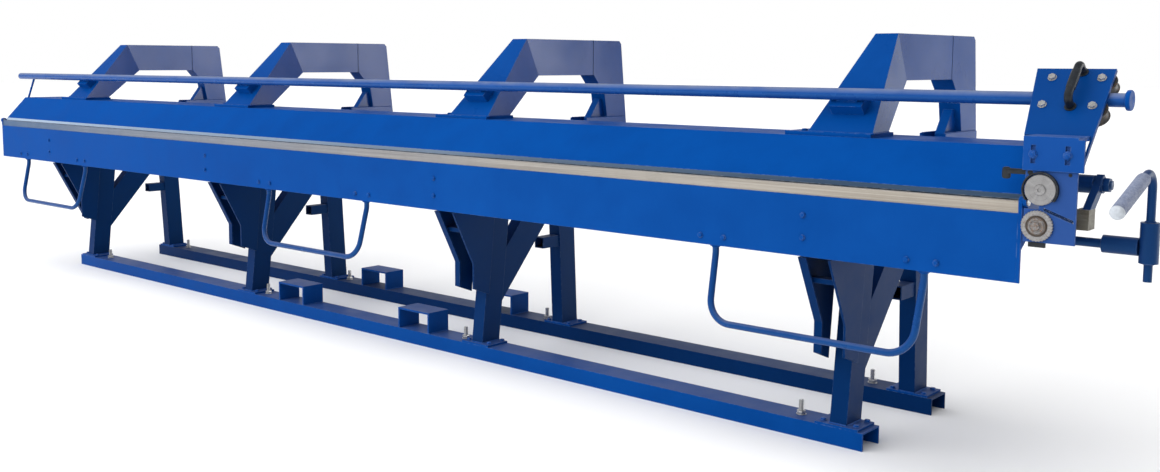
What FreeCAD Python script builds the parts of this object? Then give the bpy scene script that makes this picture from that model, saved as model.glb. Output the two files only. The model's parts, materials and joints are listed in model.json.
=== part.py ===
import FreeCAD, Part
import math
import os
import re
import Sketcher
from FreeCAD import Placement, Rotation, Vector

# Roofing sheet metal folder with a hand lever clamp, a folding apron and a
# slitting carriage. X runs along the bend line, -Y is the operator's side,
# +Z is up. The origin lies on the floor, midway between the two base rails
# and midway between the four stands. Millimetres and degrees.

doc = FreeCAD.newDocument("roofing_folder")
sheet = doc.addObject("Spreadsheet::Sheet", "Sizes")

SIZES = {
    # Long members
    "beam_length": 6216, "beam_middle_x": -9, "station_pitch": 1642.4,
    # Base rails, inverted channels that lie on the floor
    "rail_length": 5114, "rail_width": 116, "rail_height": 59, "rail_wall": 5,
    "rail_spacing": 520, "stud_outer_gap": 156.6, "stud_inner_gap": 110.2,
    "levelling_radius": 9, "levelling_hole_radius": 11, "levelling_rise": 50,
    "levelling_nut_radius": 16, "levelling_nut_height": 15,
    # Fork pockets that straddle the rails
    "pocket_pitch": 885, "pocket_width": 197, "pocket_height": 91, "pocket_wall": 8,
    # Stands
    "leg_thickness": 60, "leg_depth": 100, "leg_wall": 4,
    "front_leg_foot_y": -253, "front_leg_top_y": -185,
    "rear_leg_foot_y": 254, "rear_leg_top_y": 222.5, "rear_leg_lap": 20,
    "foot_plate_length": 152, "foot_plate_height": 8, "foot_bolt_x": 58, "foot_bolt_y": 38,
    "foot_bolt_radius": 6, "foot_head_radius": 10, "foot_head_height": 8,
    "brace_foot_y": -184, "brace_foot_z": 230, "brace_lean": 42, "brace_width": 130,
    "brace_thickness": 58, "brace_wall": 5,
    "spur_front_y": 80, "spur_bottom_z": 418, "spur_height": 48, "spur_thickness": 50,
    # Lower beam and its fixed jaw
    "table_height": 860, "jaw_height": 18, "jaw_front_y": -494, "jaw_rear_y": -400,
    "jaw_lip": 6, "jaw_bevel": 12, "jaw_notch_depth": 28, "lower_front_y": -458,
    "lower_rear_y": -130, "lower_height": 182, "lower_wall": 8, "lower_inset": 190,
    "end_plate_thickness": 10, "bracket_bottom_down": 54,
    "throat_arm_height": 82, "throat_arm_half": 49, "throat_arm_rear_y": 640,
    "throat_arm_wall": 6,
    # Cheek plates that hang below the apron on both sides of a front leg
    "cheek_thickness": 8, "cheek_left_x": -57, "cheek_right_x": 45, "cheek_flange": 28,
    "cheek_rear_y": -285, "cheek_rear_drop": 386, "cheek_front_y": -374,
    "cheek_front_drop": 352, "cheek_knee_drop": 250, "cheek_lip_y": -489,
    "cheek_lip_drop": 30, "cheek_back_y": -462, "cheek_root_y": -245,
    "tie_front_y": -430, "tie_depth": 40, "tie_height": 16, "tie_drop": 100,
    # Pivot of the clamping frame, on the throat arms
    "pivot_y": 560, "pivot_up": 45, "pivot_pin_radius": 15, "pivot_bush_radius": 22,
    "running_gap": 0.05, "lug_thickness": 12, "lug_depth": 100, "lug_above": 32,
    "lug_lap": 10, "pin_end": 5,
    # Clamping beam
    "jaw_gap": 2, "nose_height": 13, "nose_y": -492, "nose_depth": 66,
    "clamp_face_lean": 43.3, "clamp_top_up": 138, "clamp_rear_y": -130, "clamp_rear_up": 70,
    "clamp_belly_y": -392, "clamp_wall": 8,
    # Swan neck arms
    "arm_thickness": 80, "arm_front_y": -44, "arm_rise": 325, "arm_lean": 44.35,
    "arm_box_height": 154, "arm_seam_y": 395, "arm_throat_y": 30, "arm_foot_front": 110,
    "arm_foot_rear": 92, "arm_foot_y": -202, "arm_wall": 6,
    "arm_plate_left": 190, "arm_plate_right": 106, "arm_plate_height": 12, "arm_plate_rear_y": -198,
    "arm_plate_lap": 4, "arm_bolt_x": -135, "arm_bolt_front_y": -325,
    "arm_bolt_rear_y": -225, "arm_bolt_radius": 6, "arm_head_radius": 10,
    "arm_head_height": 7,
    "column_top_y": 596, "column_corner": 14, "column_foot_y": 640, "column_foot_up": 72,
    "column_heel_y": 506, "column_knee_y": 478, "column_knee_drop": 239,
    "column_chamfer_y": 400, "cheek_plate_thickness": 8, "cheek_plate_bottom_up": 12,
    "cheek_plate_height": 106, "cheek_plate_front_y": 343, "cheek_plate_rear_y": 622,
    "side_gap": 0.3, "rib_thickness": 35, "rib_height": 128, "rib_head": 14,
    "rib_toe_y": 402, "rib_toe_height": 43, "spacer_height": 30, "spacer_depth": 60,
    "spacer_inset": 12,
    # Guide tube in front of the arms
    "tube_standoff": 58.9, "tube_up": 269, "tube_radius": 19, "tube_wall": 3.5,
    "tube_past_left": 151, "tube_past_right": 179, "stub_radius": 15.2,
    "stub_length": 41, "end_flange_radius": 28, "end_flange_length": 14,
    "saddle_length": 111, "saddle_width": 64, "saddle_top": 22, "neck_half": 12,
    "neck_length": 70, "strut_radius": 6, "strut_inset": 25, "strut_foot": 10,
    # Adjusting gear at the right end of the clamping beam
    "stud_y": -370, "stud_up": 45, "stud_radius": 24.5, "stud_length": 126,
    "link_thickness": 20, "link_width": 26, "link_reach": 76,
    "nut_radius": 21, "nut_height": 25, "block_reach": 80, "block_depth": 52,
    "block_drop": 113, "block_height": 54, "block_length": 34,
    # Apron
    "axis_y": -508, "apron_front_y": -520, "apron_depth": 50,
    "apron_height": 221, "apron_wall": 6, "strip_front_y": -517, "strip_depth": 20,
    "strip_height": 32, "ear_thickness": 10, "ear_radius": 14,
    "ear_low_up": 90, "ear_high_up": 118, "flange_relief": 25, "hinge_pin_radius": 8,
    "hinge_head_radius": 12, "hinge_head_height": 4, "bracket_past": 1,
    "apron_rib_thickness": 6,
    "apron_bolt_radius": 6, "apron_head_radius": 9, "apron_head_height": 7,
    "apron_bolt_tail": 8, "handle_bolt_up": 29, "handle_bolt_spread": 88,
    "stay_bolt_x": -25, "stay_bolt_low_up": 58, "stay_bolt_high_up": 127,
    "handle_radius": 11, "handle_half": 352, "handle_top_y": -495, "handle_neck": 30,
    "handle_grip_half": 343, "handle_grip_y": -545, "handle_grip_drop": 245,
    "handle_bend": 80,
    # Clamp lever
    "shaft_y": -370, "shaft_up": 88, "shaft_radius": 12.5, "shaft_end": 12,
    "sleeve_past": 154, "sleeve_radius": 24, "hub_past": 267, "hub_radius": 24,
    "hub_height": 108, "hub_shift": 13, "lever_radius": 11, "lever_tail": 90, "lever_bend_up": 214,
    "lever_bend_radius": 45, "grip_radius": 18, "grip_length": 150, "grip_end": 8,
    "lever_tip_reach": 298, "lever_tip_up": 120,
    # Slitting carriage, parked at the right end
    "carriage_past": 39, "plate_offset": 24, "plate_thickness": 6, "plate_top": 87,
    "plate_bottom": -160, "plate_left_top": 109, "plate_left_bottom": 77, "plate_right": 100,
    "plate_flange": 10.5, "plate_tail": 92, "roller_pitch": 130, "roller_shift": 6, "roller_reach": 51, "roller_radius": 37,
    "roller_thickness": 30, "roller_gap": 0.6, "axle_radius": 8, "axle_head_radius": 12,
    "axle_head_height": 9, "axle_tail": 3, "bow_radius": 11, "bow_rise": 40,
    "bow_bend": 18, "bow_x": 16, "bow_top": 72, "bow_bottom": -56,
    "slide_plate_y": -536, "slide_plate_thickness": 6, "shelf_seat": 6,
    "slide_plate_left": -45, "slide_plate_right": 109, "slide_plate_up": 87,
    "slot_left": -19, "slot_right": 68, "slot_half_width": 6, "slot_bottom_up": 106,
    "slot_top_up": 154,
    "clip_bolt_radius": 5.5, "clip_head_radius": 10, "clip_head_height": 8,
    "blade_plate_left": -38, "blade_plate_right": 94, "blade_plate_top_up": 158,
    "blade_plate_down": 103, "blade_plate_thickness": 6,
    "nip_left": -54, "nip_right": 0, "nip_down": 15, "nip_up": 8,
    "slit_left": 12, "slit_right": 88, "slit_left_down": 14, "slit_right_down": 42,
    "slit_half_height": 4,
    "upper_blade_x": 3, "lower_blade_x": -2, "upper_blade_up": 37,
    "lower_blade_down": 59,
    "upper_blade_radius": 41, "lower_blade_radius": 42, "blade_thickness": 7,
    "blade_gap": 0.3, "blade_bevel": 2, "blade_axle_radius": 8, "hub_cap_radius": 12,
    "hub_cap_height": 5, "bearing_radius": 21, "bearing_height": 4,
    "ring_radius": 47, "ring_bore": 43.5, "ring_depth": 10,
    "latch_x": -26, "latch_up": 81, "latch_pivot_radius": 7, "latch_boss_radius": 12,
    "latch_width": 13, "latch_thickness": 9, "latch_length": 69, "latch_knob_radius": 9,
    "latch_knob_drop": 14, "latch_head_radius": 10, "latch_head_height": 3,
    "peg_half": 20, "peg_height": 13, "ring_mouth_drop": 30,
    # How far a cutting shape runs past what it cuts
    "over": 5,
}

for row, (alias, value) in enumerate(SIZES.items(), start=1):
    sheet.set("A%d" % row, alias)
    sheet.set("B%d" % row, str(value))
    sheet.setAlias("B%d" % row, alias)
doc.recompute()

# Places that follow the bend line, the beams' ends and the stands
PLACES = {
    "beam_left": "beam_middle_x - beam_length / 2",
    "beam_right": "beam_middle_x + beam_length / 2",
    "floor_top": "rail_height + foot_plate_height",
    "stud_outer_x": "1.5 * station_pitch - stud_outer_gap",
    "stud_inner_x": "0.5 * station_pitch - stud_inner_gap",
    "jaw_bottom_z": "table_height - jaw_height",
    "lower_bottom_z": "jaw_bottom_z - lower_height",
    "lower_left_x": "beam_left + lower_inset",
    "lower_right_x": "beam_right - lower_inset",
    "bracket_right_x": "beam_right + bracket_past",
    "rear_leg_top_z": "lower_bottom_z - rear_leg_lap",
    "cheek_rear_z": "lower_bottom_z - cheek_rear_drop",
    "cheek_front_z": "lower_bottom_z - cheek_front_drop",
    "cheek_knee_z": "lower_bottom_z - cheek_knee_drop",
    "cheek_lip_z": "lower_bottom_z - cheek_lip_drop",
    "tie_top_z": "lower_bottom_z - tie_drop",
    "throat_arm_under": "table_height - throat_arm_height",
    "pivot_z": "table_height + pivot_up",
    "clamp_under": "table_height + jaw_gap",
    "clamp_top_z": "table_height + clamp_top_up",
    "clamp_rear_z": "table_height + clamp_rear_up",
    "arm_top_z": "clamp_top_z + arm_rise",
    "arm_high": "arm_top_z - arm_box_height",
    "arm_foot_z": "clamp_top_z + arm_plate_height",
    "column_foot_z": "table_height + column_foot_up",
    "column_knee_z": "arm_top_z - column_knee_drop",
    "cheek_plate_bottom_z": "table_height + cheek_plate_bottom_up",
    "cheek_plate_top_z": "cheek_plate_bottom_z + cheek_plate_height",
    "rib_top_z": "column_foot_z + rib_height",
    "rib_toe_z": "column_foot_z + rib_toe_height",
    "tube_z": "table_height + tube_up",
    "tube_y": "arm_front_y - (arm_top_z - tube_z) * tan(arm_lean) - tube_standoff / cos(arm_lean)",
    "tube_left_x": "beam_left - tube_past_left",
    "tube_right_x": "beam_right + tube_past_right",
    "strut_x": "beam_left + strut_inset",
    "stud_z": "table_height + stud_up",
    "stud_end_x": "beam_right + stud_length",
    "link_foot_y": "stud_y - link_reach",
    "block_top_z": "stud_z - block_drop + block_height",
    "axis_z": "table_height",
    "apron_bottom_z": "axis_z - apron_height",
    "apron_left": "beam_left + end_plate_thickness + side_gap",
    "apron_right": "bracket_right_x - end_plate_thickness - side_gap",
    "handle_pitch": "1.5 * station_pitch",
    "handle_bolt_z": "apron_bottom_z + handle_bolt_up",
    "stay_bolt_low_z": "apron_bottom_z + stay_bolt_low_up",
    "stay_bolt_high_z": "apron_bottom_z + stay_bolt_high_up",
    "handle_grip_z": "apron_bottom_z - handle_grip_drop",
    "shaft_z": "lower_bottom_z + shaft_up",
    "shaft_left_x": "lower_left_x - shaft_end",
    "sleeve_x": "beam_right + sleeve_past",
    "hub_x": "beam_right + hub_past",
    "carriage_x": "beam_right + carriage_past",
    "slide_plate_bottom_z": "table_height + slide_plate_up",
    "slot_bottom_z": "table_height + slot_bottom_up",
    "slot_top_z": "table_height + slot_top_up",
    "blade_plate_top_z": "table_height + blade_plate_top_up",
    "blade_plate_bottom_z": "table_height - blade_plate_down",
    "nip_bottom_z": "table_height - nip_down",
    "nip_top_z": "table_height + nip_up",
    "slit_left_z": "table_height - slit_left_down",
    "slit_right_z": "table_height - slit_right_down",
    "upper_blade_z": "table_height + upper_blade_up",
    "lower_blade_z": "table_height - lower_blade_down",
    "latch_z": "table_height + latch_up",
}

ALIAS = re.compile(r"\b[a-z_]+\b")
STATIONS = (-1.5, -0.5, 0.5, 1.5)
nodes = []


# Reading and binding the sheet

def formula(text):
    """Write out every place named in the text, and the sheet in front of every size."""
    def spell(match):
        word = match.group()
        if word in PLACES:
            return "(%s)" % formula(PLACES[word])
        return "Sizes." + word if word in SIZES else word
    return ALIAS.sub(spell, str(text))


def number(text):
    """Value of a formula of sheet sizes."""
    return float(sheet.evalExpression(formula(text)))


def bind(thing, prop, text):
    thing.setExpression(prop, formula(text))


def move(thing, x="0", y="0", z="0"):
    """Tie a thing's place to the sheet."""
    for axis, text in zip("xyz", (x, y, z)):
        bind(thing, ".Placement.Base." + axis, text)
    return thing


def station_x(place):
    return "(%s * station_pitch)" % place


def keep(label, thing):
    """Name a finished sub-part and list it as a node."""
    thing.Label = label
    nodes.append(thing)
    return thing


def group(label, things):
    """Several separate solids of one kind that share a node."""
    bundle = doc.addObject("Part::Compound", label)
    bundle.Links = things
    return keep(label, bundle)


# Shapes

def plane_of(body, role):
    return next(f for f in body.Origin.OriginFeatures if f.Role == role)


def draw(body, role, outline, name):
    """Closed outline whose corners are all held by sheet sizes."""
    sketch = body.newObject("Sketcher::SketchObject", body.Name + name)
    sketch.AttachmentSupport = (plane_of(body, role), [""])
    sketch.MapMode = "FlatFace"
    corners = [Vector(number(h), number(v), 0) for h, v in outline]
    count = len(corners)
    for i in range(count):
        sketch.addGeometry(Part.LineSegment(corners[i], corners[(i + 1) % count]), False)
    for i in range(count):
        sketch.addConstraint(Sketcher.Constraint("Coincident", i, 2, (i + 1) % count, 1))
    for i, (h, v) in enumerate(outline):
        for kind, value, text in (("DistanceX", corners[i].x, h), ("DistanceY", corners[i].y, v)):
            index = sketch.addConstraint(Sketcher.Constraint(kind, -1, 1, i, 1, value))
            bind(sketch, "Constraints[%d]" % index, text)
    return sketch


def side_face(pad, sketch, outline, edge):
    """Name of the padded face that stands on one edge of the outline."""
    ends = (outline[edge], outline[(edge + 1) % len(outline)])
    corners = [Vector(number(h), number(v), pad.Length.Value / 2) for h, v in ends]
    middle = sketch.Placement.multVec((corners[0] + corners[1]) * 0.5)
    gaps = [(face.CenterOfMass - middle).Length for face in pad.Shape.Faces]
    return "Face%d" % (gaps.index(min(gaps)) + 1)


def profile(name, role, outline, length, wall=None, opened=None, holes=()):
    """Outline padded along its plane's normal; a wall makes it hollow and open at both
    ends of the pad, or at the outline's opened edges."""
    body = doc.addObject("PartDesign::Body", name)
    pad = body.newObject("PartDesign::Pad", body.Name + "_pad")
    pad.Profile = draw(body, role, outline, "_outline")
    bind(pad, "Length", length)
    body.Tip = pad
    if wall or holes:
        doc.recompute()
    for i, hole in enumerate(holes):
        pocket = body.newObject("PartDesign::Pocket", body.Name + "_cut%d" % i)
        pocket.Profile = draw(body, role, hole, "_hole%d" % i)
        pocket.Type = "ThroughAll"
        pocket.Midplane = True
        body.Tip = pocket
    if wall:
        sketch = pad.Profile[0]
        normal = sketch.Placement.Rotation.multVec(Vector(0, 0, 1))
        ends = ["Face%d" % (i + 1) for i, face in enumerate(pad.Shape.Faces)
                if abs(face.normalAt(0, 0).dot(normal)) > 0.99]
        if opened:
            ends = [side_face(pad, sketch, outline, edge) for edge in opened]
        shell = body.newObject("PartDesign::Thickness", body.Name + "_shell")
        shell.Base = (pad, ends)
        shell.Reversed = True
        shell.Join = 1
        bind(shell, "Value", wall)
        body.Tip = shell
    return body


def along_x(name, outline, length, start, wall=None, opened=None):
    """Profile of y, z corners padded along X from its start."""
    return move(profile(name, "YZ_Plane", outline, length, wall, opened), start)


def box(name, corner, size):
    block = doc.addObject("Part::Box", name)
    for prop, text in zip(("Length", "Width", "Height"), size):
        bind(block, prop, text)
    return move(block, *corner)


def rod(name, start, axis, radius, length):
    """Cylinder from a start point along X, Y, Z or a direction that isn't level."""
    bar = doc.addObject("Part::Cylinder", name)
    bind(bar, "Radius", radius)
    bind(bar, "Height", length)
    bar.Placement = Placement(Vector(), Rotation(Vector(0, 0, 1), Vector(*axis)))
    return move(bar, *start)


def hexagon(name, start, axis, radius, height):
    head = doc.addObject("Part::Prism", name)
    head.Polygon = 6
    bind(head, "Circumradius", radius)
    bind(head, "Height", height)
    head.Placement = Placement(Vector(), Rotation(Vector(0, 0, 1), Vector(*axis)))
    return move(head, *start)


def cut(name, base, tools):
    result = doc.addObject("Part::Cut", name)
    result.Base = base
    tool = tools[0]
    if len(tools) > 1:
        tool = doc.addObject("Part::Compound", name + "_tools")
        tool.Links = tools
    result.Tool = tool
    return result


def fuse(name, shapes):
    result = doc.addObject("Part::MultiFuse", name)
    result.Shapes = shapes
    result.Refine = True
    return result


def bolt(name, place, axis, sizes, shank=None):
    """Hexagon head on a face; the shank, if any, runs back into the hole behind it."""
    radius, head_radius, head_height = sizes
    head = hexagon(name + "_head", place, axis, head_radius, head_height)
    if not shank:
        return head
    back = tuple(-step for step in axis)
    return fuse(name, [head, rod(name + "_shank", place, back, radius, shank)])


def crossing(first, second):
    """Corner where two straight edges meet; an edge is y, z and its y per z."""
    y1, z1, k1 = ("(%s)" % text for text in first)
    y2, z2, k2 = ("(%s)" % text for text in second)
    z = "((%s - %s * %s - %s + %s * %s) / (%s - %s))" % (y2, k2, z2, y1, k1, z1, k1, k2)
    return "(%s + %s * (%s - %s))" % (y1, k1, z, z1), z


UP = (0, 0, 1)
FRONT = (0, -1, 0)
RIGHT = (1, 0, 0)


# Base frame

def rail_profile(side):
    middle = "(%d * rail_spacing / 2)" % side
    front, rear = middle + " - rail_width / 2", middle + " + rail_width / 2"
    return [(front, "0"), (front + " + rail_wall", "0"),
            (front + " + rail_wall", "rail_height - rail_wall"),
            (rear + " - rail_wall", "rail_height - rail_wall"),
            (rear + " - rail_wall", "0"), (rear, "0"),
            (rear, "rail_height"), (front, "rail_height")]


def levelling_places():
    for sign in (-1, 1):
        for reach in ("stud_outer_x", "stud_inner_x"):
            yield "%d * %s" % (sign, reach)


def foot_bolt_places(side):
    leg = "front_leg_foot_y" if side < 0 else "rear_leg_foot_y"
    for place in STATIONS:
        for dx in (-1, 1):
            for dy in (-1, 1):
                yield ("%s + %d * foot_bolt_x" % (station_x(place), dx),
                       "%s + %d * foot_bolt_y" % (leg, dy))


def make_rails():
    for side, word in ((-1, "front"), (1, "rear")):
        middle = "%d * rail_spacing / 2" % side
        rail = along_x("rail_" + word, rail_profile(side), "rail_length", "-rail_length / 2")
        drills = [rod("levelling_hole", (x, middle, "rail_height - 2 * rail_wall"), UP,
                      "levelling_hole_radius", "3 * rail_wall")
                  for x in levelling_places()]
        drills += [rod("foot_hole", (x, y, "rail_height - 2 * rail_wall"), UP,
                       "foot_bolt_radius + side_gap", "3 * rail_wall")
                   for x, y in foot_bolt_places(side)]
        keep("base_rail_" + word, cut("rail_cut_" + word, rail, drills))


def make_fork_pockets():
    pockets = []
    for side in (-1, 1):
        for hand in (-1, 1):
            left, right = "-pocket_width / 2", "pocket_width / 2"
            outline = [(left, "0"), (left + " + pocket_wall", "0"),
                       (left + " + pocket_wall", "pocket_height - pocket_wall"),
                       (right + " - pocket_wall", "pocket_height - pocket_wall"),
                       (right + " - pocket_wall", "0"), (right, "0"),
                       (right, "pocket_height"), (left, "pocket_height")]
            pocket = profile("pocket", "XZ_Plane", outline, "rail_width")
            move(pocket, "%d * pocket_pitch / 2" % hand,
                 "%d * rail_spacing / 2 + rail_width / 2" % side, "rail_height")
            pockets.append(pocket)
    group("fork_pockets", pockets)


def make_levelling_studs():
    """Threaded studs that stand on the floor, each held by a nut on top of its rail."""
    studs = []
    for side in (-1, 1):
        for x in levelling_places():
            middle = "%d * rail_spacing / 2" % side
            stud = rod("levelling_stud", (x, middle, "0"), UP, "levelling_radius",
                       "rail_height + levelling_rise")
            nut = hexagon("levelling_nut", (x, middle, "rail_height"), UP,
                          "levelling_nut_radius", "levelling_nut_height")
            studs.append(fuse("levelling_stud_nut", [stud, nut]))
    group("levelling_studs", studs)


# Stands

def front_leg_lean():
    return "((front_leg_top_y - front_leg_foot_y) / (lower_bottom_z - floor_top))"


def rear_leg_lean():
    return "((rear_leg_top_y - rear_leg_foot_y) / (rear_leg_top_z - floor_top))"


def brace_edges():
    """Lower and upper edge of the diagonal brace, as y, z and y per z."""
    lower = ("brace_foot_y", "brace_foot_z", "tan(brace_lean)")
    upper = ("brace_foot_y - brace_width / cos(brace_lean)", "brace_foot_z", "tan(brace_lean)")
    return lower, upper


def make_legs():
    half = "leg_depth / 2"
    bottom = "floor_top"
    lower, upper = brace_edges()
    front_legs, rear_legs, braces = [], [], []
    for place in STATIONS:
        start = station_x(place) + " - leg_thickness / 2"
        outline = [("front_leg_foot_y - " + half, bottom), ("front_leg_foot_y + " + half, bottom),
                   ("front_leg_top_y + " + half, "lower_bottom_z"),
                   ("front_leg_top_y - " + half, "lower_bottom_z")]
        front_legs.append(along_x("front_leg", outline, "leg_thickness", start, "leg_wall",
                                  (0, 2)))
        lean = rear_leg_lean()
        front_edge = ("rear_leg_foot_y - " + half, bottom, lean)
        rear_edge = ("rear_leg_foot_y + " + half, bottom, lean)
        outline = [front_edge[:2], rear_edge[:2], crossing(lower, rear_edge),
                   crossing(lower, front_edge)]
        rear_leg = along_x("rear_leg", outline, "leg_thickness", start, "leg_wall", (0, 2))
        leg_back = ("front_leg_foot_y + " + half, bottom, front_leg_lean())
        at_top = ["%s + %s * (throat_arm_under - %s)" % (y, lean, z)
                  for y, z, lean in (lower, upper)]
        outline = [crossing(lower, leg_back), (at_top[0], "throat_arm_under"),
                   (at_top[1], "throat_arm_under"), crossing(upper, leg_back)]
        braces.append(along_x("brace", outline, "brace_thickness",
                              station_x(place) + " - brace_thickness / 2", "brace_wall",
                              (1, 3)))
        spur_top = "spur_bottom_z + spur_height"
        on_leg = ["rear_leg_foot_y - %s + %s * (%s - %s)" % (half, lean, z, bottom)
                  for z in ("spur_bottom_z", "(%s)" % spur_top)]
        outline = [("spur_front_y", "spur_bottom_z"), (on_leg[0], "spur_bottom_z"),
                   (on_leg[1], spur_top), ("spur_front_y", spur_top)]
        spur = along_x("spur", outline, "spur_thickness",
                       station_x(place) + " - spur_thickness / 2", "leg_wall", (1, 3))
        rear_legs.append(fuse("rear_leg_with_spur", [rear_leg, spur]))
    group("front_legs", front_legs)
    group("rear_legs", rear_legs)
    group("leg_braces", braces)


def make_foot_plates():
    plates = []
    bolts = []
    for side in (-1, 1):
        for place in STATIONS:
            corner = (station_x(place) + " - foot_plate_length / 2",
                      "%d * rail_spacing / 2 - rail_width / 2" % side, "rail_height")
            plate = box("foot_plate", corner, ("foot_plate_length", "rail_width",
                                               "foot_plate_height"))
            leg = "front_leg_foot_y" if side < 0 else "rear_leg_foot_y"
            drills = []
            for dx in (-1, 1):
                for dy in (-1, 1):
                    x = "%s + %d * foot_bolt_x" % (station_x(place), dx)
                    y = "%s + %d * foot_bolt_y" % (leg, dy)
                    drills.append(rod("plate_hole", (x, y, "rail_height - over"), UP,
                                      "foot_bolt_radius + side_gap",
                                      "foot_plate_height + 2 * over"))
                    bolts.append(bolt("foot_bolt", (x, y, "floor_top"), UP,
                                      ("foot_bolt_radius", "foot_head_radius",
                                       "foot_head_height"),
                                      "foot_plate_height + rail_wall + over"))
            plates.append(cut("foot_plate_cut", plate, drills))
    group("foot_plates", plates)
    group("foot_bolts", bolts)


def make_cheeks():
    """Plates beside the front legs; the first stand's left one has no upright edge."""
    cheeks = []
    slope = "((cheek_lip_y - cheek_front_y) / (cheek_lip_z - cheek_knee_z))"
    for i, place in enumerate(STATIONS):
        knee = [("cheek_front_y", "cheek_front_z"), ("cheek_front_y", "cheek_knee_z")]
        if i == 0:
            base_slope = ("cheek_rear_y", "cheek_rear_z",
                          "(cheek_front_y - cheek_rear_y) / (cheek_front_z - cheek_rear_z)")
            knee = [crossing(base_slope, ("cheek_lip_y", "cheek_lip_z", slope))]
        rest = [("cheek_lip_y", "cheek_lip_z"), ("cheek_back_y", "cheek_lip_z"),
                ("cheek_back_y", "lower_bottom_z"), ("cheek_root_y", "lower_bottom_z")]
        outline = [("cheek_rear_y", "cheek_rear_z")] + knee + rest
        x = station_x(place) + " + cheek_left_x"
        plate = along_x("cheek_left", outline, "cheek_thickness", x)
        edge = knee + [("cheek_lip_y", "cheek_lip_z")]
        back = [("%s + cheek_thickness" % y, z) for y, z in reversed(edge)]
        flange = along_x("cheek_flange", edge + back, "cheek_flange", x)
        full = [("cheek_rear_y", "cheek_rear_z"), ("cheek_front_y", "cheek_front_z"),
                ("cheek_front_y", "cheek_knee_z")] + rest
        right = along_x("cheek_right", full, "cheek_thickness",
                        station_x(place) + " + cheek_right_x")
        tie = box("tie", (x + " + cheek_thickness", "tie_front_y", "tie_top_z - tie_height"),
                  ("cheek_right_x - cheek_left_x - cheek_thickness", "tie_depth",
                   "tie_height"))
        cheeks += [fuse("cheek_left_plate", [plate, flange]), right, tie]
    group("leg_cheeks", cheeks)


# Lower beam, fixed jaw and throat arms

def make_lower_beam():
    outline = [("lower_front_y", "lower_bottom_z"), ("lower_rear_y", "lower_bottom_z"),
               ("lower_rear_y", "jaw_bottom_z"), ("lower_front_y", "jaw_bottom_z")]
    keep("lower_beam", along_x("lower_beam", outline,
                               "lower_right_x - lower_left_x - 2 * end_plate_thickness",
                               "lower_left_x + end_plate_thickness", "lower_wall"))
    jaw_left = "(beam_left + end_plate_thickness)"
    jaw_right = "(bracket_right_x - end_plate_thickness)"
    corners = [("jaw_front_y", "table_height"), ("jaw_front_y", "table_height - jaw_lip"),
               ("jaw_front_y + jaw_bevel", "jaw_bottom_z"), ("jaw_rear_y", "jaw_bottom_z"),
               ("jaw_rear_y", "table_height")]
    jaw = along_x("jaw_blank", corners, jaw_right + " - " + jaw_left, jaw_left)
    notch_length = "(ear_thickness + 2 * side_gap)"
    notches = [box("jaw_notch", (x, "jaw_front_y - jaw_notch_depth", "jaw_bottom_z - over"),
                   (notch_length + " + over", "2 * jaw_notch_depth",
                    "jaw_height + 2 * over"))
               for x in (jaw_left + " - over", "%s - %s" % (jaw_right, notch_length))]
    keep("fixed_jaw", cut("fixed_jaw_cut", jaw, notches))
    plates = []
    for x in ("lower_left_x", "lower_right_x - end_plate_thickness"):
        plate = along_x("end_plate", outline, "end_plate_thickness", x)
        hole = rod("shaft_hole", (x + " - over", "shaft_y", "shaft_z"), RIGHT,
                   "shaft_radius + running_gap", "end_plate_thickness + 2 * over")
        plates.append(cut("end_plate_cut", plate, [hole]))
    group("beam_end_plates", plates + hinge_brackets())
    pins = []
    for x, axis in (("beam_left", (-1, 0, 0)), ("bracket_right_x", RIGHT)):
        inward = tuple(-step for step in axis)
        place = (x, "axis_y", "axis_z")
        head = rod("pin_head", place, axis, "hinge_head_radius", "hinge_head_height")
        shank = rod("pin_shank", place, inward, "hinge_pin_radius",
                    "end_plate_thickness + side_gap + ear_thickness")
        pins.append(fuse("hinge_pin", [head, shank]))
    group("apron_hinge_pins", pins)


def hinge_brackets():
    """Plates on the fixed jaw's ends that hold the apron's hinge pins."""
    low = "axis_z - bracket_bottom_down"
    outline = [("axis_y", "axis_z"), ("axis_y", "axis_z - ear_radius"), ("lower_front_y", low),
               ("jaw_rear_y", low), ("jaw_rear_y", "table_height")]
    brackets = []
    for x in ("beam_left", "bracket_right_x - end_plate_thickness"):
        plate = along_x("hinge_bracket", outline, "end_plate_thickness", x)
        boss = rod("bracket_boss", (x, "axis_y", "axis_z"), RIGHT, "ear_radius",
                   "end_plate_thickness")
        hole = rod("pin_hole", (x + " - over", "axis_y", "axis_z"), RIGHT, "hinge_pin_radius",
                   "end_plate_thickness + 2 * over")
        brackets.append(cut("hinge_bracket_cut", fuse("bracket_body", [plate, boss]), [hole]))
    return brackets


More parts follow.
